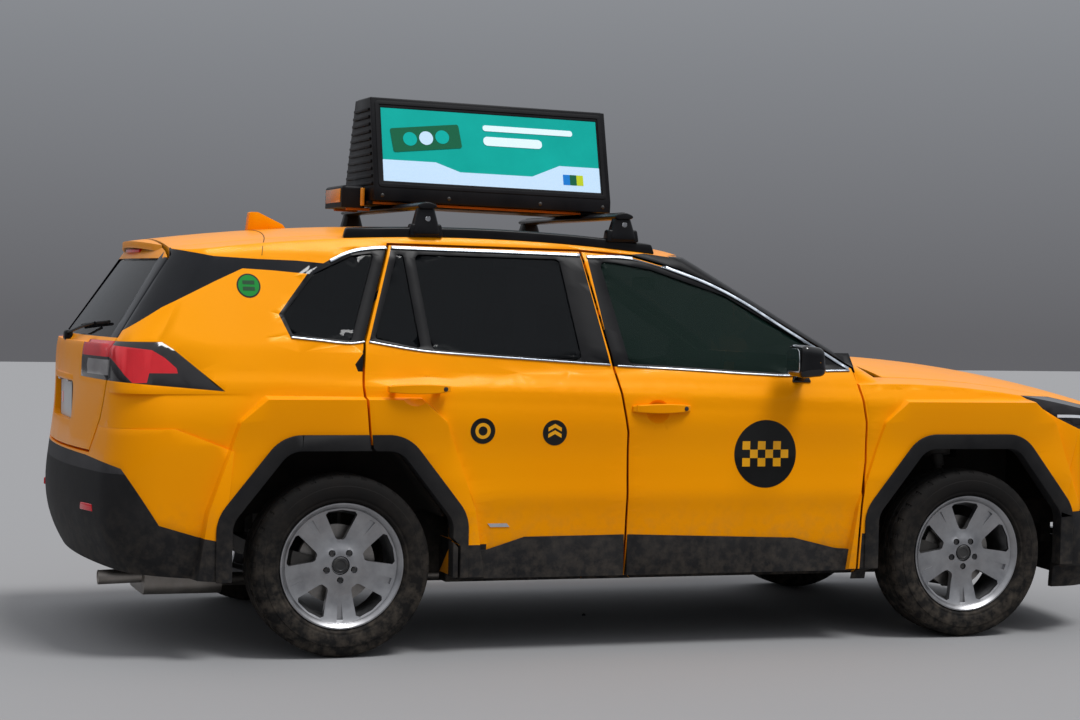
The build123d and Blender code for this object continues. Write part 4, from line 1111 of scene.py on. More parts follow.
def addMirrors(look):
    low, high = look["low"], look["high"]
    head = shapedBlock(low, high, 0.030, 5, (0.86, 0.97), (1, 1), 3)
    for vertex in head.data.vertices:
        front = (vertex.co.x - low[0]) / (high[0] - low[0])
        outward = (vertex.co.y - high[1]) / (low[1] - high[1])
        vertex.co.z += 0.012 * front * (1 if vertex.co.z < 1.15 else -1.4)
        vertex.co.x -= 0.016 * max(outward, 0) ** 2
        vertex.co.z += 0.006 * (1 - max(outward, 0)) * (1 if vertex.co.z < 1.15 else 0)
    mesh = bmesh.new()
    mesh.from_mesh(head.data)
    bmesh.ops.bisect_plane(mesh, geom=mesh.verts[:] + mesh.edges[:] + mesh.faces[:], dist=0.00001,
                           plane_co=(0, 0, 1.118), plane_no=(0.25, 0, 1))
    mesh.to_mesh(head.data)
    mesh.free()
    finishByPlace(head, [
        (mirrorBlack, lambda place, facing: True),
        (cladding, lambda place, facing: (place.z - 1.118) + 0.25 * place.x < 0),
    ])
    twin = mirrorCopy(head)
    for piece, side in ((head, "right"), (twin, "left")):
        settle(piece, f"mirrorHead_{side}", f"door_front_{side}", None, 50)
        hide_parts(f"mirror_{side}")
    glass = outlineSolid("glass", [(-1.070, 1.108), (-0.945, 1.112), (-0.932, 1.122), (-0.930, 1.185), (-0.940, 1.197),
                                   (-0.960, 1.203), (-1.050, 1.203), (-1.068, 1.194), (-1.076, 1.170), (-1.078, 1.125)],
                         0.0, 0.003, 0.0008)
    pickOnly(glass)
    for vertex in glass.data.vertices:
        across, up, deep = vertex.co.x, vertex.co.z, vertex.co.y
        outward = (across + 0.912) / (-0.18)
        vertex.co = (0.5055 - deep - 0.014 * max(outward, 0) ** 2, across, up)
    onBothSides(glass, "mirrorGlass", "door_front_{side}", mirrorSilver, 30)
    arm = tubePiece(look["foot"], 0.017, 5)
    onBothSides(arm, "mirrorArm", "door_front_{side}", cladding, 60)
    base = shapedBlock((0.560, -0.874, 1.060), (0.650, -0.842, 1.090), 0.009, 3, (0.7, 0.6))
    onBothSides(base, "mirrorBase", "door_front_{side}", mirrorBlack, 60)
    lampLine = [(0.575, -1.089, 1.150), (0.592, -1.060, 1.151), (0.606, -1.010, 1.152), (0.611, -0.960, 1.153)]
    lamp = tubePiece(lampLine, 0.0045, 3)
    onBothSides(lamp, "mirrorLamp", "door_front_{side}", amberLens, 60)


decalBlack = makePlastic("decalBlack", (0.004, 0.004, 0.004), (0.008, 0.008, 0.008), 0.34, 260, 0.03, 0.3, False)
decalYellow = makePlastic("decalYellow", (0.82, 0.36, 0.006), (0.92, 0.42, 0.008), 0.34, 260, 0.03, 0.3, False)
decalGreen = makePlastic("decalGreen", (0.001, 0.22, 0.025), (0.002, 0.30, 0.04), 0.4, 260, 0.03, 0.05, False, 0.1)
decalDark = makePlastic("decalDark", (0.002, 0.05, 0.012), (0.004, 0.07, 0.016), 0.35, 260, 0.03, 0.3, False)
mirrorBlack = makePlastic("mirrorBlack", (0.004, 0.004, 0.005), (0.008, 0.008, 0.009), 0.18, 300, 0.02, 0.7, False)
mirrorSilver = makeMetal("mirrorSilver", (0.78, 0.80, 0.82), (0.84, 0.86, 0.88), 0.05, 30, 1.0, 0.0)

addMarkings(markings)
addHandles(handleLook)
addMirrors(mirrorLook)
print("stage: markings, handles and mirrors")


# Tailgate: plate recess, plate, handle strip, brake lamp and wiper
gateLook = {
    "recess": (0.255, 0.868, 1.022),
    "recessDepth": 0.030,
    "plate": (0.152, 0.945, 0.076),
    "redDecal": (0.085, 0.125, 0.920, 0.965),
    "lampRed": [(-2.20, 1.178), (-2.144, 1.173), (-2.039, 1.162), (-1.992, 1.134), (-1.950, 1.096), (-1.946, 1.077),
                (-2.052, 1.077), (-2.062, 1.041), (-2.112, 1.039), (-2.136, 1.066), (-2.176, 1.128), (-2.20, 1.132)],
    "gateRedFoot": 1.131,
    "blackFoot": 1.203,
}


def turnToRear(piece):
    # across and depth change places, so that a side outline faces the back of the car
    for vertex in piece.data.vertices:
        vertex.co = (vertex.co.y, vertex.co.x, vertex.co.z)
    tidyMesh(piece)
    return piece


def rearX(y, z, tree):
    hit = tree.ray_cast(Vector((-3, y, z)), Vector((1, 0, 0)))[0]
    return hit.x if hit is not None else -2.25


def roundedPlan(width, height, radius, steps=5):
    # the outline of a rectangle with round corners, about its middle
    points = []
    for count, (sx, sz) in enumerate(((1, 1), (-1, 1), (-1, -1), (1, -1))):
        for step in range(steps + 1):
            turn = math.radians(90 * count + 90 * step / steps)
            points.append((sx * (width / 2 - radius) + radius * math.cos(turn),
                           sz * (height / 2 - radius) + radius * math.sin(turn)))
    return points


def shapeTailgate(piece, look=gateLook):
    half, foot, head = look["recess"]
    cutter = outlineSolid("cutter", [(x, z + (foot + head) / 2) for x, z in roundedPlan(2 * half, head - foot, 0.022)],
                          -2.40, -2.262 + look["recessDepth"])
    turnToRear(cutter)
    cutAway(piece, cutter)
    level = look["blackFoot"]
    cutOutline(piece, [(-2.4, level), (-1.7, level), (-1.7, 1.8), (-2.4, 1.8)])
    finishByPlace(piece, [
        (paint, lambda place, facing: True),
        (blackGloss, lambda place, facing: place.z > level and (place.z < 1.512 or facing.z < 0.2)
         and not (facing.x < -0.5 and place.z > 1.535)),
        (doorCard, lambda place, facing: facing.x > 0.4 and place.z < 1.5),
        (lampDark, lambda place, facing: foot < place.z < head and abs(place.y) < half and -2.24 < place.x < -2.225),
    ])


def shapeTailLamps(piece, look=gateLook):
    cutOutline(piece, look["lampRed"], 0.01)
    finishByPlace(piece, [
        (lampDark, lambda place, facing: True),
        (redLens, lambda place, facing: inOutline(place.x, place.z, look["lampRed"]) and facing.y * place.y > -0.2),
    ])


def shapeGateLamps(piece, look=gateLook):
    level = look["gateRedFoot"]
    for height in (level, 1.120, 1.062):
        cutOutline(piece, [(-2.4, height), (-1.9, height), (-1.9, 1.4), (-2.4, 1.4)])
    finishByPlace(piece, [
        (lampDark, lambda place, facing: True),
        (redLens, lambda place, facing: place.z > level),
        (lampGrey, lambda place, facing: 1.062 < place.z < 1.120 and abs(place.y) > 0.46),
    ])


def shapeRearLower(piece):
    cutOutline(piece, [(-2.4, 0.700), (-1.5, 0.700), (-1.5, 0.9), (-2.4, 0.9)])
    finishByPlace(piece, [
        (cladding, lambda place, facing: True),
        (stepGrey, lambda place, facing: place.z > 0.700 and place.x < -2.05),
    ])


def addTailgateTrim(look):
    tree = skinTree(("tailgate", "tailgate_glass", "rear_bumper", "rear_bumper_lower"))
    floorX = -2.262 + look["recessDepth"]
    half, middle, tall = look["plate"]
    plate = outlineSolid("plate", [(x, z + middle) for x, z in roundedPlan(2 * half, 2 * tall, 0.012)], floorX - 0.012,
                         floorX - 0.008, 0.0008)
    turnToRear(plate)
    settle(plate, "rearPlate", "tailgate", plateWhite)
    outline = [(x, z + middle) for x, z in roundedPlan(2 * half + 0.022, 2 * tall + 0.022, 0.016)]
    frameOuter = outlineSolid("frame", outline,
                              floorX - 0.010, floorX + 0.002, 0.0015)
    turnToRear(frameOuter)
    settle(frameOuter, "plateFrame", "tailgate", trimBlack)
    y0, y1, z0, z1 = look["redDecal"]
    decal = outlineSolid("decal", [(y0, z0), (y1, z0), (y1, z1), (y0, z1)], floorX - 0.0128, floorX - 0.0118)
    turnToRear(decal)
    # the decal takes the glowing red lens finish: a painted glow, as the decal is no lamp
    settle(decal, "plateDecal", "tailgate", redLens, 0)
    # lamps over the plate and the strip that hides the catch
    strip = shapedBlock((-2.272, -0.245, 1.024), (-2.240, 0.245, 1.050), 0.006, 3, (0.8, 0.99), (1, 1), 3)
    for vertex in strip.data.vertices:
        vertex.co.x += 0.016 * (vertex.co.y / 0.245) ** 2
    settle(strip, "gateStrip", "tailgate", paint, 50)
    for sign in (-1, 1):
        lamp = shapedBlock((-2.258, sign * 0.12 - 0.03, 1.014), (-2.243, sign * 0.12 + 0.03, 1.0235), 0.002, 2)
        settle(lamp, f"plateLamp{'A' if sign < 0 else 'B'}", "tailgate", lampGrey)
    brake = shapedBlock((-2.008, -0.16, 1.533), (-1.975, 0.16, 1.546), 0.004, 3, (0.8, 0.98), (1, 1), 3)
    for vertex in brake.data.vertices:
        vertex.co.x += 0.02 * (vertex.co.y / 0.16) ** 2
    settle(brake, "highBrakeLamp", "tailgate", redLens, 50)
    # wiper on the rear glass
    pivotX = rearX(0, 1.195, tree)
    knob = shapedBlock((pivotX - 0.034, -0.032, 1.176), (pivotX + 0.004, 0.032, 1.216), 0.010, 4, (0.8, 0.8))
    settle(knob, "rearWiperPivot", "tailgate", trimBlack, 50)
    arm = [(rearX(y, z, tree) - lift, y, z) for y, z, lift in
           ((0.0, 1.200, 0.030), (-0.06, 1.212, 0.034), (-0.20, 1.235, 0.030), (-0.32, 1.252, 0.022))]
    settle(tubePiece(arm, 0.0055, 3), "rearWiperArm", "tailgate", trimBlack, 50)
    blade = [(rearX(y, 1.232 + abs(y) * 0.06, tree) - 0.010, y, 1.232 + abs(y) * 0.06) for y in
             (-0.08, -0.16, -0.24, -0.32, -0.40, -0.46)]
    settle(tubePiece(blade, 0.006, 2), "rearWiperBlade", "tailgate", rubber, 50)
    # reflectors low on the bumper
    for side, sign in sides:
        z = 0.560
        x = rearX(sign * 0.60, z, tree)
        reflector = shapedBlock((x - 0.006, sign * 0.60 - 0.055, z - 0.014),
                                (x + 0.01, sign * 0.60 + 0.055, z + 0.014), 0.004, 3, (1, 0.94))
        for vertex in reflector.data.vertices:
            vertex.co.x += (abs(vertex.co.y) - 0.60) * 0.28
        # the reflectors take the glowing red lens finish: a painted glow, as they are no lamps
        settle(reflector, f"rearReflector_{side}", "body", redLens, 50)


# Roof equipment in the display rack's own frame: along the car, across it and up from the rear bar
rackLook = {
    "origin": (-0.925, 0.0, 1.7523),
    "slope": 0.02036,
    "rear": -0.120,
    "front": 0.915,
    "boxFoot": 0.0133,
    "kneeUp": 0.046,
    "topUp": 0.430,
    "baseHalf": 0.245,
    "topHalf": 0.120,
    "screenHalf": (0.4785, 0.171),
    "bars": [(-0.090, 1.722), (-0.925, 1.739)],
    "railY": 0.580,
}


def rackMatrix(look=rackLook):
    turn = math.atan(look["slope"])
    basis = Matrix(((math.cos(turn), 0, math.sin(turn)), (0, 1, 0), (-math.sin(turn), 0, math.cos(turn)))).to_4x4()
    return Matrix.Translation(look["origin"]) @ basis


def toRack(piece):
    piece.data.transform(rackMatrix())
    return piece


def boxHalf(up, look=rackLook):
    # half the display's width at a height above the tray's underside
    rise = up - look["boxFoot"] - look["kneeUp"]
    if rise < 0:
        return look["baseHalf"]
    return look["baseHalf"] - rise / (look["topUp"] - look["kneeUp"]) * (look["baseHalf"] - look["topHalf"])


def screenMatrix(sign, look=rackLook):
    rise = look["topUp"] - look["kneeUp"]
    run = look["baseHalf"] - look["topHalf"]
    size = math.hypot(rise, run)
    middle = Vector(((look["rear"] + look["front"]) / 2, sign * (look["baseHalf"] + look["topHalf"]) / 2,
                     look["boxFoot"] + (look["topUp"] + look["kneeUp"]) / 2))
    across = Vector((-sign, 0, 0))
    upward = Vector((0, -sign * run / size, rise / size))
    outward = across.cross(upward)
    basis = Matrix((across, upward, outward)).transposed().to_4x4()
    return rackMatrix() @ Matrix.Translation(middle) @ basis


def screenPatch(points, sign, lift, finish, name, thick=0.0006):
    data = bpy.data.curves.new("patch", "CURVE")
    data.dimensions = "2D"
    data.fill_mode = "BOTH"
    data.extrude = thick / 2
    spline = data.splines.new("POLY")
    spline.points.add(len(points) - 1)
    for point, (u, v) in zip(spline.points, points):
        point.co = (u, v, 0, 1)
    spline.use_cyclic_u = True
    holder = bpy.data.objects.new("patch", data)
    bpy.context.scene.collection.objects.link(holder)
    pickOnly(holder)
    bpy.ops.object.convert(target="MESH")
    piece = bpy.context.object
    piece.data.transform(screenMatrix(sign) @ Matrix.Translation((0, 0, lift)))
    tidyMesh(piece)
    settle(piece, name, "body", finish, 0)
    return piece


def circlePlan(u, v, radius, count=40):
    return [(u + radius * math.cos(2 * math.pi * step / count), v + radius * math.sin(2 * math.pi * step / count))
            for step in range(count)]


def shifted(points, u, v, turn=0):
    cosine, sine = math.cos(math.radians(turn)), math.sin(math.radians(turn))
    return [(u + x * cosine - z * sine, v + x * sine + z * cosine) for x, z in points]


def screenSurface(sign, tree):
    hit = tree.ray_cast(Vector((-0.5, sign * 2, 2.0)), Vector((0, -sign, 0)))[0]
    local = screenMatrix(sign).inverted() @ hit
    return local.z


def addDisplay(look):
    # the graphics are plain shapes in the colours of a lit advertisement
    tree = skinTree(("display_screens",))
    wide, tall = look["screenHalf"]
    for side, sign in sides:
        base = screenSurface(sign, tree) + 0.0008
        pale = [(-wide, -tall), (wide, -tall), (wide, -tall * 0.30), (wide * 0.62, -tall * 0.30),
                (wide * 0.36, -tall * 0.62), (-wide * 0.30, -tall * 0.62), (-wide * 0.52, -tall * 0.40),
                (-wide, -tall * 0.40)]
        screenPatch(pale, sign, base, screenPale, f"screenPale_{side}")
        screenPatch(shifted(roundedPlan(0.300, 0.105, 0.010), -0.285, 0.036, 7), sign, base + 0.0008, screenGreen,
                    f"screenPanel_{side}")
        spots = (-0.355, 0.028, screenTeal), (-0.285, 0.036, screenPale), (-0.215, 0.045, screenTeal)
        for count, (u, v, finish) in enumerate(spots):
            screenPatch(circlePlan(u, v, 0.030), sign, base + 0.0016, finish, f"screenSpot{count}_{side}")
        for count, (u, v, length, height) in enumerate(((0.165, 0.098, 0.400, 0.026), (0.095, 0.040, 0.260, 0.040))):
            screenPatch(shifted(roundedPlan(length, height, height * 0.45), u, v), sign, base + 0.0008, screenWhite,
                        f"screenBar{count}_{side}")
        for count, (u, finish) in enumerate(((0.325, screenBlue), (0.355, screenGreen), (0.385, screenLime))):
            screenPatch(shifted(roundedPlan(0.030, 0.046, 0.002), u, -0.112), sign, base + 0.0008, finish,
                        f"screenTile{count}_{side}")
        # a raised lip round the screen
        outer = roundedPlan(2 * wide + 0.040, 2 * tall + 0.036, 0.014, 4)
        inner = roundedPlan(2 * wide + 0.010, 2 * tall + 0.008, 0.006, 4)
        lip = ringPiece(outer, inner, 0.0045)
        lip.data.transform(screenMatrix(sign) @ Matrix.Translation((0, 0, 0.001)))
        tidyMesh(lip)
        settle(lip, f"screenLip_{side}", "body", displayBlack, 40)
    # cooling ribs on both end faces
    ribs = []
    for end, facing in ((look["rear"], -1), (look["front"], 1)):
        for step in range(11):
            up = 0.085 + 0.031 * step
            half = boxHalf(up) - 0.020
            low, high = sorted((end - facing * 0.001, end + facing * 0.007))
            ribs.append(toRack(shapedBlock((low, -half, up - 0.006), (high, half, up + 0.006), 0.002, 2)))
    settle(joinPieces(ribs), "displayRibs", "body", displayBlack, 40)
    # a rounded spine along the top and feet under the case
    spine = toRack(shapedBlock((look["rear"] + 0.002, -0.105, 0.4425), (look["front"] - 0.002, 0.105, 0.4475),
                               0.0022, 2, (0.99, 0.9)))
    settle(spine, "displayTop", "body", displayBlack, 40)
    straps = []
    for sign in (-1, 1):
        straps.append(toRack(shapedBlock((-0.110, sign * 0.192 - 0.003, 0.001),
                                         (0.800, sign * 0.192 + 0.003, 0.011), 0.001, 2)))
    settle(joinPieces(straps), "trayEdges", "body", strapOrange, 40)
    bolts = []
    for place in (-0.085, 0.20, 0.60, 0.880):
        for sign in (-1, 1):
            bolt = turnedPiece("bolt", [(0.0, 0.0), (0.0035, 0.0), (0.0035, 0.004), (0.0015, 0.0075),
                                        (0.0, 0.0085)], 12, False)
            pickOnly(bolt)
            bolt.location = (place, sign * -0.245, 0.036)
            if sign < 0:
                bolt.rotation_euler = (0, 0, math.pi)
            fixPlace()
            bolts.append(toRack(bolt))
    settle(joinPieces(bolts), "displayBolts", "body", alloyDark, 40)


def ringPiece(outer, inner, thick):
    # a flat frame between two outlines with as many points
    data = bpy.data.curves.new("ring", "CURVE")
    data.dimensions = "2D"
    data.fill_mode = "BOTH"
    data.extrude = thick / 2 - 0.0008
    data.bevel_depth = 0.0008
    for points in (outer, inner):
        spline = data.splines.new("POLY")
        spline.points.add(len(points) - 1)
        for point, (u, v) in zip(spline.points, points):
            point.co = (u, v, 0, 1)
        spline.use_cyclic_u = True
    holder = bpy.data.objects.new("ring", data)
    bpy.context.scene.collection.objects.link(holder)
    pickOnly(holder)
    bpy.ops.object.convert(target="MESH")
    return bpy.context.object


def addCrossbars(look):
    # wing-shaped bars with end caps on rounded feet that clamp the rails
    blades, feet, locks, strips = [], [], [], []
    for x, z in look["bars"]:
        bpy.ops.object.select_all(action="DESELECT")
        bpy.ops.mesh.primitive_cylinder_add(vertices=40, radius=1, depth=1.236, location=(x, 0, z),
                                            rotation=(math.radians(90), 0, 0))
        blade = bpy.context.object
        fixPlace()
        for vertex in blade.data.vertices:
            vertex.co.x = x + (vertex.co.x - x) * 0.040
            vertex.co.z = z + (vertex.co.z - z) * 0.0135 + 0.0016 * math.cos((vertex.co.x - x) / 0.040 * math.pi)
        addBevel(blade, 0.005, 3, 40)
        applyAll(blade)
        blades.append(blade)
        strips.append(shapedBlock((x - 0.008, -0.60, z + 0.012), (x + 0.008, 0.60, z + 0.0168), 0.001, 2))
        for sign in (-1, 1):
            middle = sign * look["railY"]
            foot = shapedBlock((x - 0.060, middle - 0.040, 1.622), (x + 0.060, middle + 0.040, z + 0.004), 0.020, 5,
                               (0.52, 0.66), (1, 1), 2)
            feet.append(foot)
            pad = shapedBlock((x - 0.070, middle - 0.030, 1.618), (x + 0.070, middle + 0.030, 1.668), 0.008, 3,
                              (0.9, 0.86))
            feet.append(pad)
            lock = turnedPiece("lock", [(0.0, 0.0), (0.0, 0.0095), (-0.0015, 0.011), (-0.010, 0.0112)], 24, False)
            pickOnly(lock)
            if sign > 0:
                lock.rotation_euler = (0, 0, math.pi)
            lock.location = (x + 0.004, middle + sign * 0.0345, 1.688)
            fixPlace()
            locks.append(lock)
    bars = joinPieces(blades)
    settle(bars, "barBlades", "body", rackBlack, 40)
    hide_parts("crossbars")
    settle(joinPieces(strips), "barStrips", "body", rubber, 40)
    settle(joinPieces(feet), "barFeet", "body", rackBlack, 60)
    settle(joinPieces(locks), "barLocks", "body", chrome, 40)


def addRoofLight():
    # a small black case with an amber strip on each side and an amber panel behind
    case = copyNode("roof_light", "roofLightCase")
    addBevel(case, 0.006, 3)
    applyAll(case)
    settle(case, "roofLightCase", "body", displayBlack, 40)
    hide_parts("roof_light")
    strips = []
    for sign in (-1, 1):
        low = (-0.154, sign * 0.150 - 0.004, -0.008)
        high = (-0.136, sign * 0.150 + 0.004, 0.066)
        strips.append(toRack(shapedBlock(low, high, 0.003, 3)))
    settle(joinPieces(strips), "roofLightStrips", "body", amberLens, 40)
    panel = toRack(shapedBlock((-0.2335, -0.120, 0.004), (-0.2290, 0.120, 0.060), 0.0015, 2))
    settle(panel, "roofLightPanel", "body", amberLens, 40)
    brackets = [toRack(shapedBlock((-0.200, sign * 0.100 - 0.012, -0.026),
                                   (-0.100, sign * 0.100 + 0.012, -0.014), 0.003, 2))
                for sign in (-1, 1)]
    settle(joinPieces(brackets), "roofLightBrackets", "body", strapOrange, 40)


def addRoofSeam():
    # the thin joint between the roof skin and the rear roof moulding
    tree = skinTree(("roof_panel", "side_frames"))
    rows = []
    for step in range(61):
        y = -0.640 + 1.280 * step / 60
        x = -1.520 - 0.073 * (abs(y) / 0.64) ** 3
        hit = tree.ray_cast(Vector((x, y, 3)), Vector((0, 0, -1)))[0]
        rows.append((x, y, (hit.z if hit is not None else 1.53) + 0.0002))
    joint = tubePiece(rows, 0.0016, 1, False)
    settle(joint, "roofJoint", "body", lowTrim, 60)


def makeScreen(name, colour, deeper, glow):
    # a lit panel: fine dots in its colour and a soft glow under a clear cover
    made, tree, shader = newMaterial(name)
    dots = objectNoise(tree, 620, 2)
    tone = ramp(tree, dots.outputs["Fac"], [(0.35, deeper), (0.65, colour)])
    tree.links.new(tone.outputs["Color"], shader.inputs["Base Color"])
    tree.links.new(tone.outputs["Color"], shader.inputs["Emission Color"])
    shader.inputs["Emission Strength"].default_value = glow
    shader.inputs["Roughness"].default_value = 0.4
    shader.inputs["Specular IOR Level"].default_value = 0.08
    return made


lampGrey = makePlastic("lampGrey", (0.20, 0.19, 0.19), (0.34, 0.33, 0.33), 0.14, 160, 0.03, 0.9, False)
stepGrey = makePlastic("stepGrey", (0.035, 0.034, 0.036), (0.060, 0.058, 0.060), 0.62)
plateWhite = makePlastic("plateWhite", (0.46, 0.48, 0.50), (0.60, 0.62, 0.64), 0.38, 160, 0.05, 0.2, False)
strapOrange = makePlastic("strapOrange", (0.34, 0.11, 0.010), (0.52, 0.19, 0.02), 0.5, 240, 0.08, 0.1, False)
screenTeal = makeScreen("screenTeal", (0.001, 0.42, 0.37), (0.001, 0.36, 0.32), 0.20)
screenPale = makeScreen("screenPale", (0.52, 0.70, 0.88), (0.44, 0.62, 0.80), 0.30)
screenGreen = makeScreen("screenGreen", (0.010, 0.13, 0.06), (0.006, 0.09, 0.045), 0.2)
screenWhite = makeScreen("screenWhite", (0.70, 0.84, 0.90), (0.60, 0.76, 0.84), 0.3)
screenBlue = makeScreen("screenBlue", (0.01, 0.20, 0.62), (0.01, 0.15, 0.50), 0.25)
screenLime = makeScreen("screenLime", (0.50, 0.60, 0.02), (0.40, 0.50, 0.02), 0.25)

for node, body, slot, shape, bevel in (
        ("tailgate", "tailgate", "taxi_paint", shapeTailgate, 0.0012),
        ("tailgate_lamps", "tailgate", "red_lens", shapeGateLamps, 0.002),
        ("tail_lamps", "body", "red_lens", shapeTailLamps, 0.002),
        ("rear_bumper_lower", "body", "black_cladding", shapeRearLower, 0.003)):
    dressShaped(node, node + "_made", body, shape, bevel)
addTailgateTrim(gateLook)
addDisplay(rackLook)
addCrossbars(rackLook)
addRoofLight()
addRoofSeam()
print("stage: tailgate, lamps and roof equipment")


# Seats: padded cushions and backs, swollen by a short cloth run, with sewn channels and piping
seatLook = {
    "voxel": 0.010,
    "pressure": 4.0,
    "frames": 20,
    "cap": 0.022,
    "shrink": 0.012,
    "frontHalf": 0.246,
    "frontMiddle": 0.36,
    "rearHalf": 0.556,
    "frontCushion": [(-0.060, 0.522), (0.430, 0.504), (0.448, 0.640), (-0.068, 0.650)],
    "frontBack": [(-0.040, 0.560), (-0.055, 0.660), (-0.227, 1.180), (-0.322, 1.170), (-0.165, 0.560)],
    "frontHead": [(-0.257, 1.200), (-0.277, 1.366), (-0.336, 1.362), (-0.333, 1.196)],
    "rearCushion": [(-1.005, 0.566), (-0.562, 0.564), (-0.545, 0.690), (-1.005, 0.699)],
    "rearBack": [(-0.965, 0.712), (-1.082, 1.190), (-1.160, 1.184), (-1.075, 0.712)],
    "rearHead": [(-1.088, 1.204), (-1.106, 1.328), (-1.162, 1.322), (-1.158, 1.199)],
}


def insetOutline(points, distance):
    middleX = sum(x for x, z in points) / len(points)
    middleZ = sum(z for x, z in points) / len(points)
    made = []
    for x, z in points:
        dx, dz = middleX - x, middleZ - z
        size = math.hypot(dx, dz)
        made.append((x + dx / size * distance * 1.3, z + dz / size * distance * 1.3))
    return made


def padPiece(outline, half, middle, round, look=seatLook, swell=True):
    # a closed pad from its side outline: remeshed, swollen within a cap and smoothed
    pad = outlineSolid("pad", insetOutline(outline, look["shrink"]), middle - half + look["shrink"],
                       middle + half - look["shrink"])
    addBevel(pad, round, 4, 30)
    applyAll(pad)
    remesh = pad.modifiers.new("remesh", "REMESH")
    remesh.mode = "VOXEL"
    remesh.voxel_size = look["voxel"]
    applyAll(pad)
    if swell:
        start = [vertex.co.copy() for vertex in pad.data.vertices]
        cloth = pad.modifiers.new("cloth", "CLOTH")
        cloth.settings.use_pressure = True
        cloth.settings.uniform_pressure_force = look["pressure"]
        cloth.settings.effector_weights.gravity = 0
        cloth.settings.quality = 4
        scene = bpy.context.scene
        for step in range(1, look["frames"] + 1):
            scene.frame_set(step)
        applyAll(pad)
        scene.frame_set(1)
        for vertex, was in zip(pad.data.vertices, start):
            moved = vertex.co - was
            if moved.length > look["cap"]:
                vertex.co = was + moved * (look["cap"] / moved.length)
    else:
        for vertex in pad.data.vertices:
            vertex.co += vertex.normal * look["shrink"] * 0.8
    smooth = pad.modifiers.new("smooth", "SMOOTH")
    smooth.factor = 0.5
    smooth.iterations = 3
    applyAll(pad)
    return pad


def sewChannels(pad, across, lengthwise, middle, depth=0.005, wide=0.007, lengthAxis=0):
    # grooves where the cover is sewn down: at distances from the pad's middle line, and along it
    for vertex in pad.data.vertices:
        press = 0
        for place in across:
            press += math.exp(-(((abs(vertex.co.y - middle) - place) / wide) ** 2))
        for place in lengthwise:
            if abs(vertex.co.y - middle) < max(across or [1]):
                press += math.exp(-(((vertex.co[lengthAxis] - place) / wide) ** 2))
        vertex.co -= vertex.normal * depth * min(press, 1)


def pipeRound(outline, y, radius):
    # piping along the sewn edge of a pad's side
    points = [(x, y, z) for x, z in outline]
    data = bpy.data.curves.new("piping", "CURVE")
    data.dimensions = "3D"
    data.bevel_depth = radius
    data.bevel_resolution = 2
    spline = data.splines.new("NURBS")
    dense = []
    for first, second in zip(points, points[1:] + points[:1]):
        for share in (0.12, 0.5, 0.88):
            dense.append(tuple(a + (b - a) * share for a, b in zip(first, second)))
    spline.points.add(len(dense) - 1)
    for point, place in zip(spline.points, dense):
        point.co = (*place, 1)
    spline.order_u = 3
    spline.use_cyclic_u = True
    holder = bpy.data.objects.new("piping", data)
    bpy.context.scene.collection.objects.link(holder)
    pickOnly(holder)
    bpy.ops.object.convert(target="MESH")
    return bpy.context.object


def finishPad(pad, name, node=None):
    detail = pad.modifiers.new("detail", "SUBSURF")
    detail.levels = 1
    detail.render_levels = 1
    applyAll(pad)
    settle(pad, name, "body", seatCloth, 180)
    if node:
        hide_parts(node)


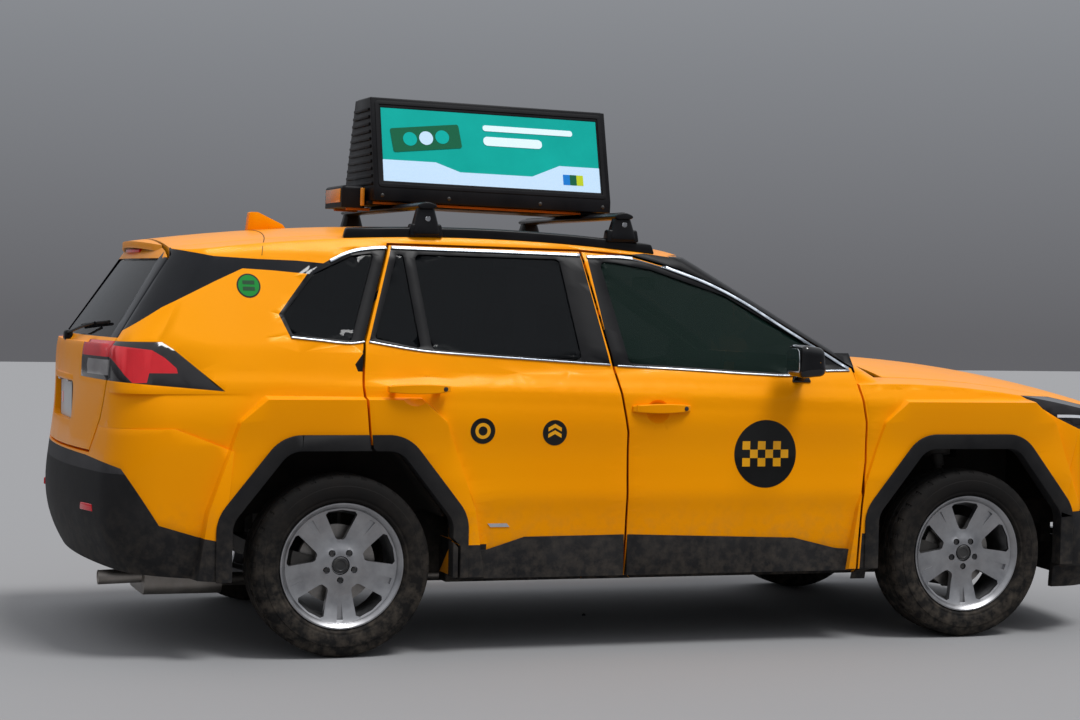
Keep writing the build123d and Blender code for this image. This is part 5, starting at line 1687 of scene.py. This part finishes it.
def addSeats(look):
    half, middle = look["frontHalf"], look["frontMiddle"]
    cushion = padPiece(look["frontCushion"], half, -middle, 0.035)
    sewChannels(cushion, [0.150], [0.06, 0.20, 0.33], -middle)
    back = padPiece(look["frontBack"], half, -middle, 0.035)
    sewChannels(back, [0.150], [0.72, 0.86, 1.00], -middle, lengthAxis=2)
    head = padPiece(look["frontHead"], 0.128, -middle, 0.026, swell=False)
    for side, sign in sides:
        for part, pad in (("Cushion", cushion), ("Back", back), ("Head", head)):
            twin = mirrorCopy(pad) if sign > 0 else copyOf(pad)
            finishPad(twin, f"frontSeat{part}_{side}", "front_seats" if part == "Cushion" and sign < 0 else None)
    for pad in (cushion, back, head):
        bpy.data.objects.remove(pad)
    trims = []
    for edge in (-1, 1):
        for part in ("frontCushion", "frontBack"):
            trims.append(pipeRound(insetOutline(look[part], 0.008), -middle + edge * (half - 0.020), 0.0035))
    onBothSides(joinPieces(trims), "seatPiping", "body", trimBlack, 60)
    hard = []
    for y in (-0.06, 0.06):
        hard.append(tubePiece([(-0.285, -middle + y, 1.150), (-0.300, -middle + y, 1.235)], 0.007, 3, False))
    onBothSides(joinPieces(hard), "headPosts", "body", chrome, 40)
    base = [shapedBlock((0.000, -middle - 0.20, 0.300), (0.330, -middle + 0.20, 0.512), 0.012, 3,
                        (0.9, 0.94), (1, 1), 2)]
    for edge in (-1, 1):
        y = -middle + edge * 0.240
        base.append(shapedBlock((-0.100, y - 0.012, 0.440), (0.380, y + 0.012, 0.540), 0.010, 3, (0.86, 1), (1, 1), 2))
        base.append(shapedBlock((-0.060, y - 0.016, 0.290), (0.400, y + 0.016, 0.316), 0.005, 2))
    onBothSides(joinPieces(base), "seatBase", "body", dashPlastic, 40)
    rear = padPiece(look["rearCushion"], look["rearHalf"], 0, 0.035)
    sewChannels(rear, [0.200], [-0.86, -0.72], 0)
    finishPad(rear, "rearSeatCushion", "rear_seat")
    rearBack = padPiece(look["rearBack"], look["rearHalf"], 0, 0.030)
    sewChannels(rearBack, [0.200], [0.85, 1.02], 0, lengthAxis=2)
    finishPad(rearBack, "rearSeatBack")
    posts = []
    for count, y in enumerate((-0.38, 0.0, 0.38)):
        finishPad(padPiece(look["rearHead"], 0.118, y, 0.022, swell=False), f"rearSeatHead{count}")
        for x in (-0.05, 0.05):
            posts.append(tubePiece([(-1.115, y + x, 1.150), (-1.125, y + x, 1.235)], 0.007, 3, False))
    settle(joinPieces(posts), "rearHeadPosts", "body", chrome, 40)
    pipes = [pipeRound(insetOutline(look["rearCushion"], 0.008), edge * (look["rearHalf"] - 0.018), 0.0035)
             for edge in (-1, 1)]
    settle(joinPieces(pipes), "rearPiping", "body", trimBlack, 60)


# Cabin details: screen, gauge hood, vents, gear lever and mirror
cabinLook = {
    "screen": ((0.548, -0.135, 1.010), (0.572, 0.135, 1.165)),
    "hood": ((0.535, 0.235, 0.985), (0.700, 0.485, 1.085)),
    "vents": (-0.56, -0.20, 0.20, 0.56),
    "ventRows": 4,
    "ventFoot": 0.905,
    "ventStep": 0.022,
    "mirror": ((0.235, -0.115, 1.425), (0.262, 0.115, 1.485)),
}


def addCabinDetails(look):
    screen = shapedBlock(*look["screen"], 0.008, 3, (0.9, 0.97), (1, 1), 0, (0.02, 0))
    settle(screen, "dashScreen", "body", mirrorBlack, 40)
    hood = shapedBlock(*look["hood"], 0.030, 4, (0.9, 0.8), (1, 1), 2)
    settle(hood, "gaugeHood", "body", dashPlastic, 50)
    vents = []
    for y in look["vents"]:
        for step in range(look["ventRows"]):
            z = look["ventFoot"] + step * look["ventStep"]
            vents.append(shapedBlock((0.548, y - 0.055, z), (0.566, y + 0.055, z + 0.009), 0.003, 2))
    settle(joinPieces(vents), "dashVents", "body", trimBlack, 40)
    lever = [tubePiece([(0.40, 0.02, 0.655), (0.385, 0.02, 0.725)], 0.010, 3),
             shapedBlock((0.358, -0.005, 0.715), (0.410, 0.045, 0.765), 0.016, 4, (0.9, 0.9))]
    settle(joinPieces(lever), "gearLever", "body", mirrorBlack, 50)
    mirror = shapedBlock(*look["mirror"], 0.012, 4, (1, 0.94), (1, 1), 2)
    settle(mirror, "cabinMirror", "body", mirrorBlack, 50)
    stalk = tubePiece([(0.262, 0, 1.47), (0.290, 0, 1.492)], 0.008, 3)
    settle(stalk, "cabinMirrorStalk", "body", mirrorBlack, 50)


seatCloth = makePlastic("seatCloth", (0.012, 0.012, 0.014), (0.026, 0.026, 0.029), 0.62, 420, 0.45, 0, False)
addSeats(seatLook)
addCabinDetails(cabinLook)
print("stage: seats and cabin")


# Front: day lamps, lamp units, fog lamps, plate and wipers
frontLook = {
    "lampUnits": [(-0.625, 0.893, 0.026), (-0.700, 0.893, 0.026)],
    "fogLamp": (-0.700, 0.470, 0.036),
    "plateMiddle": 0.600,
    "lampLine": [(1.800, 0.926), (1.900, 0.924), (2.020, 0.914), (2.110, 0.902)],
    "wiperPivots": [(1.010, 0.420), (1.010, -0.160)],
}


def frontX(y, z, tree):
    hit = tree.ray_cast(Vector((3, y, z)), Vector((-1, 0, 0)))[0]
    return hit.x if hit is not None else 2.25


def addFront(look):
    tree = skinTree(("front_bumper", "front_bumper_lower", "grilles", "headlamps", "bonnet"))
    # a light bar and two lamp units in each headlamp
    bar = sideStrip("bar", look["lampLine"], 0.012, 0.0006, 0.0016, 0, 24)
    onBothSides(bar, "dayLamp", "body", lampClear, 40)
    for count, (y, z, radius) in enumerate(look["lampUnits"]):
        x = frontX(y, z, tree)
        unit = turnedPiece("unit", [(0.0, 0.0), (0.003, radius * 0.5), (0.0015, radius * 0.82), (0.004, radius * 0.9),
                                    (0.004, radius), (-0.004, radius * 1.04)], 32, False)
        turnToFront(unit, x + 0.001, y, z, 0.45)
        onBothSides(unit, f"lampUnit{count}", "body", lampClear, 40)
    y, z, radius = look["fogLamp"]
    fog = turnedPiece("fog", [(0.0, 0.0), (0.004, radius * 0.6), (0.002, radius * 0.85), (0.008, radius * 0.9),
                              (0.009, radius * 1.15), (-0.006, radius * 1.25)], 32, False)
    turnToFront(fog, frontX(y, z, tree) + 0.002, y, z, 0.35)
    onBothSides(fog, "fogLamp0", "body", lampClear, 40)
    middle = look["plateMiddle"]
    x = frontX(0, middle, tree) + 0.004
    plate = outlineSolid("plate", [(a, b + middle) for a, b in roundedPlan(0.304, 0.152, 0.012)], x, x + 0.004, 0.0008)
    turnToRear(plate)
    settle(plate, "frontPlate", "body", plateWhite)
    holder = outlineSolid("holder", [(a, b + middle) for a, b in roundedPlan(0.330, 0.178, 0.016)],
                          x - 0.02, x + 0.002, 0.002)
    turnToRear(holder)
    settle(holder, "frontPlateHolder", "body", trimBlack)
    glass = skinTree(("windscreen", "cowl"))
    arms = []
    for x0, y0 in look["wiperPivots"]:
        points = []
        for share in (0, 0.12, 0.5, 1):
            y = y0 - 0.50 * share
            x = x0 - 0.02 - 0.10 * share
            hit = glass.ray_cast(Vector((x, y, 3)), Vector((0, 0, -1)))[0]
            base = hit.z if hit is not None else 1.1
            points.append((x, y, base + (0.030 if share < 0.3 else 0.016)))
        arms.append(tubePiece(points, 0.006, 3))
        blade = []
        for share in (0.2, 0.45, 0.7, 1.0, 1.25):
            y = y0 - 0.50 * share
            x = x0 - 0.045 - 0.085 * share
            hit = glass.ray_cast(Vector((x, y, 3)), Vector((0, 0, -1)))[0]
            blade.append((x, y, (hit.z if hit is not None else 1.1) + 0.007))
        arms.append(tubePiece(blade, 0.006, 2))
    settle(joinPieces(arms), "frontWipers", "body", trimBlack, 50)


def turnToFront(piece, x, y, z, lean):
    # a turned piece about the depth axis faces forwards, leaning outwards to the corner
    pickOnly(piece)
    piece.rotation_euler = (0, 0, math.radians(90) - lean * (1 if y < 0 else -1))
    piece.location = (x, y, z)
    fixPlace()


lampClear = makePlastic("lampClear", (0.50, 0.52, 0.55), (0.70, 0.72, 0.75), 0.12, 120, 0.03, 1.0, False)
addFront(frontLook)
print("stage: front")


# Floor, backdrop and light
studio = {
    "floorColour": (0.27, 0.27, 0.275),
    "floorSize": 60,
    "skyLevels": [(0.0, (0.10, 0.10, 0.11)), (0.49, (0.13, 0.13, 0.14)), (0.55, (0.24, 0.25, 0.27)),
                  (0.72, (0.62, 0.64, 0.68)), (1.0, (0.96, 0.97, 1.0))],
    "skyStrength": 0.95,
    "keyStrength": 2.1,
    "keyAngle": 20,
    "keyTurn": (24, 8, 20),
}


def addStudio(look):
    bpy.ops.mesh.primitive_plane_add(size=look["floorSize"], location=(0, 0, -0.001))
    floor = bpy.context.object
    floor.name = "floor"
    made, _, shader = newMaterial("floorPaper")
    shader.inputs["Base Color"].default_value = (*look["floorColour"], 1)
    shader.inputs["Roughness"].default_value = 0.9
    floor.data.materials.append(made)
    scene = bpy.context.scene
    world = bpy.data.worlds.new("studio")
    scene.world = world
    world.use_nodes = True
    background = world.node_tree.nodes["Background"]
    nodes, links = world.node_tree.nodes, world.node_tree.links
    place = nodes.new("ShaderNodeTexCoord")
    split = nodes.new("ShaderNodeSeparateXYZ")
    height = nodes.new("ShaderNodeMapRange")
    height.inputs["From Min"].default_value = -1
    tone = nodes.new("ShaderNodeValToRGB")
    while len(tone.color_ramp.elements) < len(look["skyLevels"]):
        tone.color_ramp.elements.new(0.5)
    for element, (level, colour) in zip(tone.color_ramp.elements, look["skyLevels"]):
        element.position = level
        element.color = (*colour, 1)
    links.new(place.outputs["Generated"], split.inputs["Vector"])
    links.new(split.outputs["Z"], height.inputs["Value"])
    links.new(height.outputs["Result"], tone.inputs["Fac"])
    links.new(tone.outputs["Color"], background.inputs["Color"])
    background.inputs["Strength"].default_value = look["skyStrength"]
    bpy.ops.object.light_add(type="SUN", rotation=tuple(math.radians(a) for a in look["keyTurn"]))
    key = bpy.context.object
    key.name = "keyLight"
    key.data.energy = look["keyStrength"]
    key.data.angle = math.radians(look["keyAngle"])
    scene.view_settings.view_transform = "Standard"


addStudio(studio)
print("stage: studio")

print("stage: done")
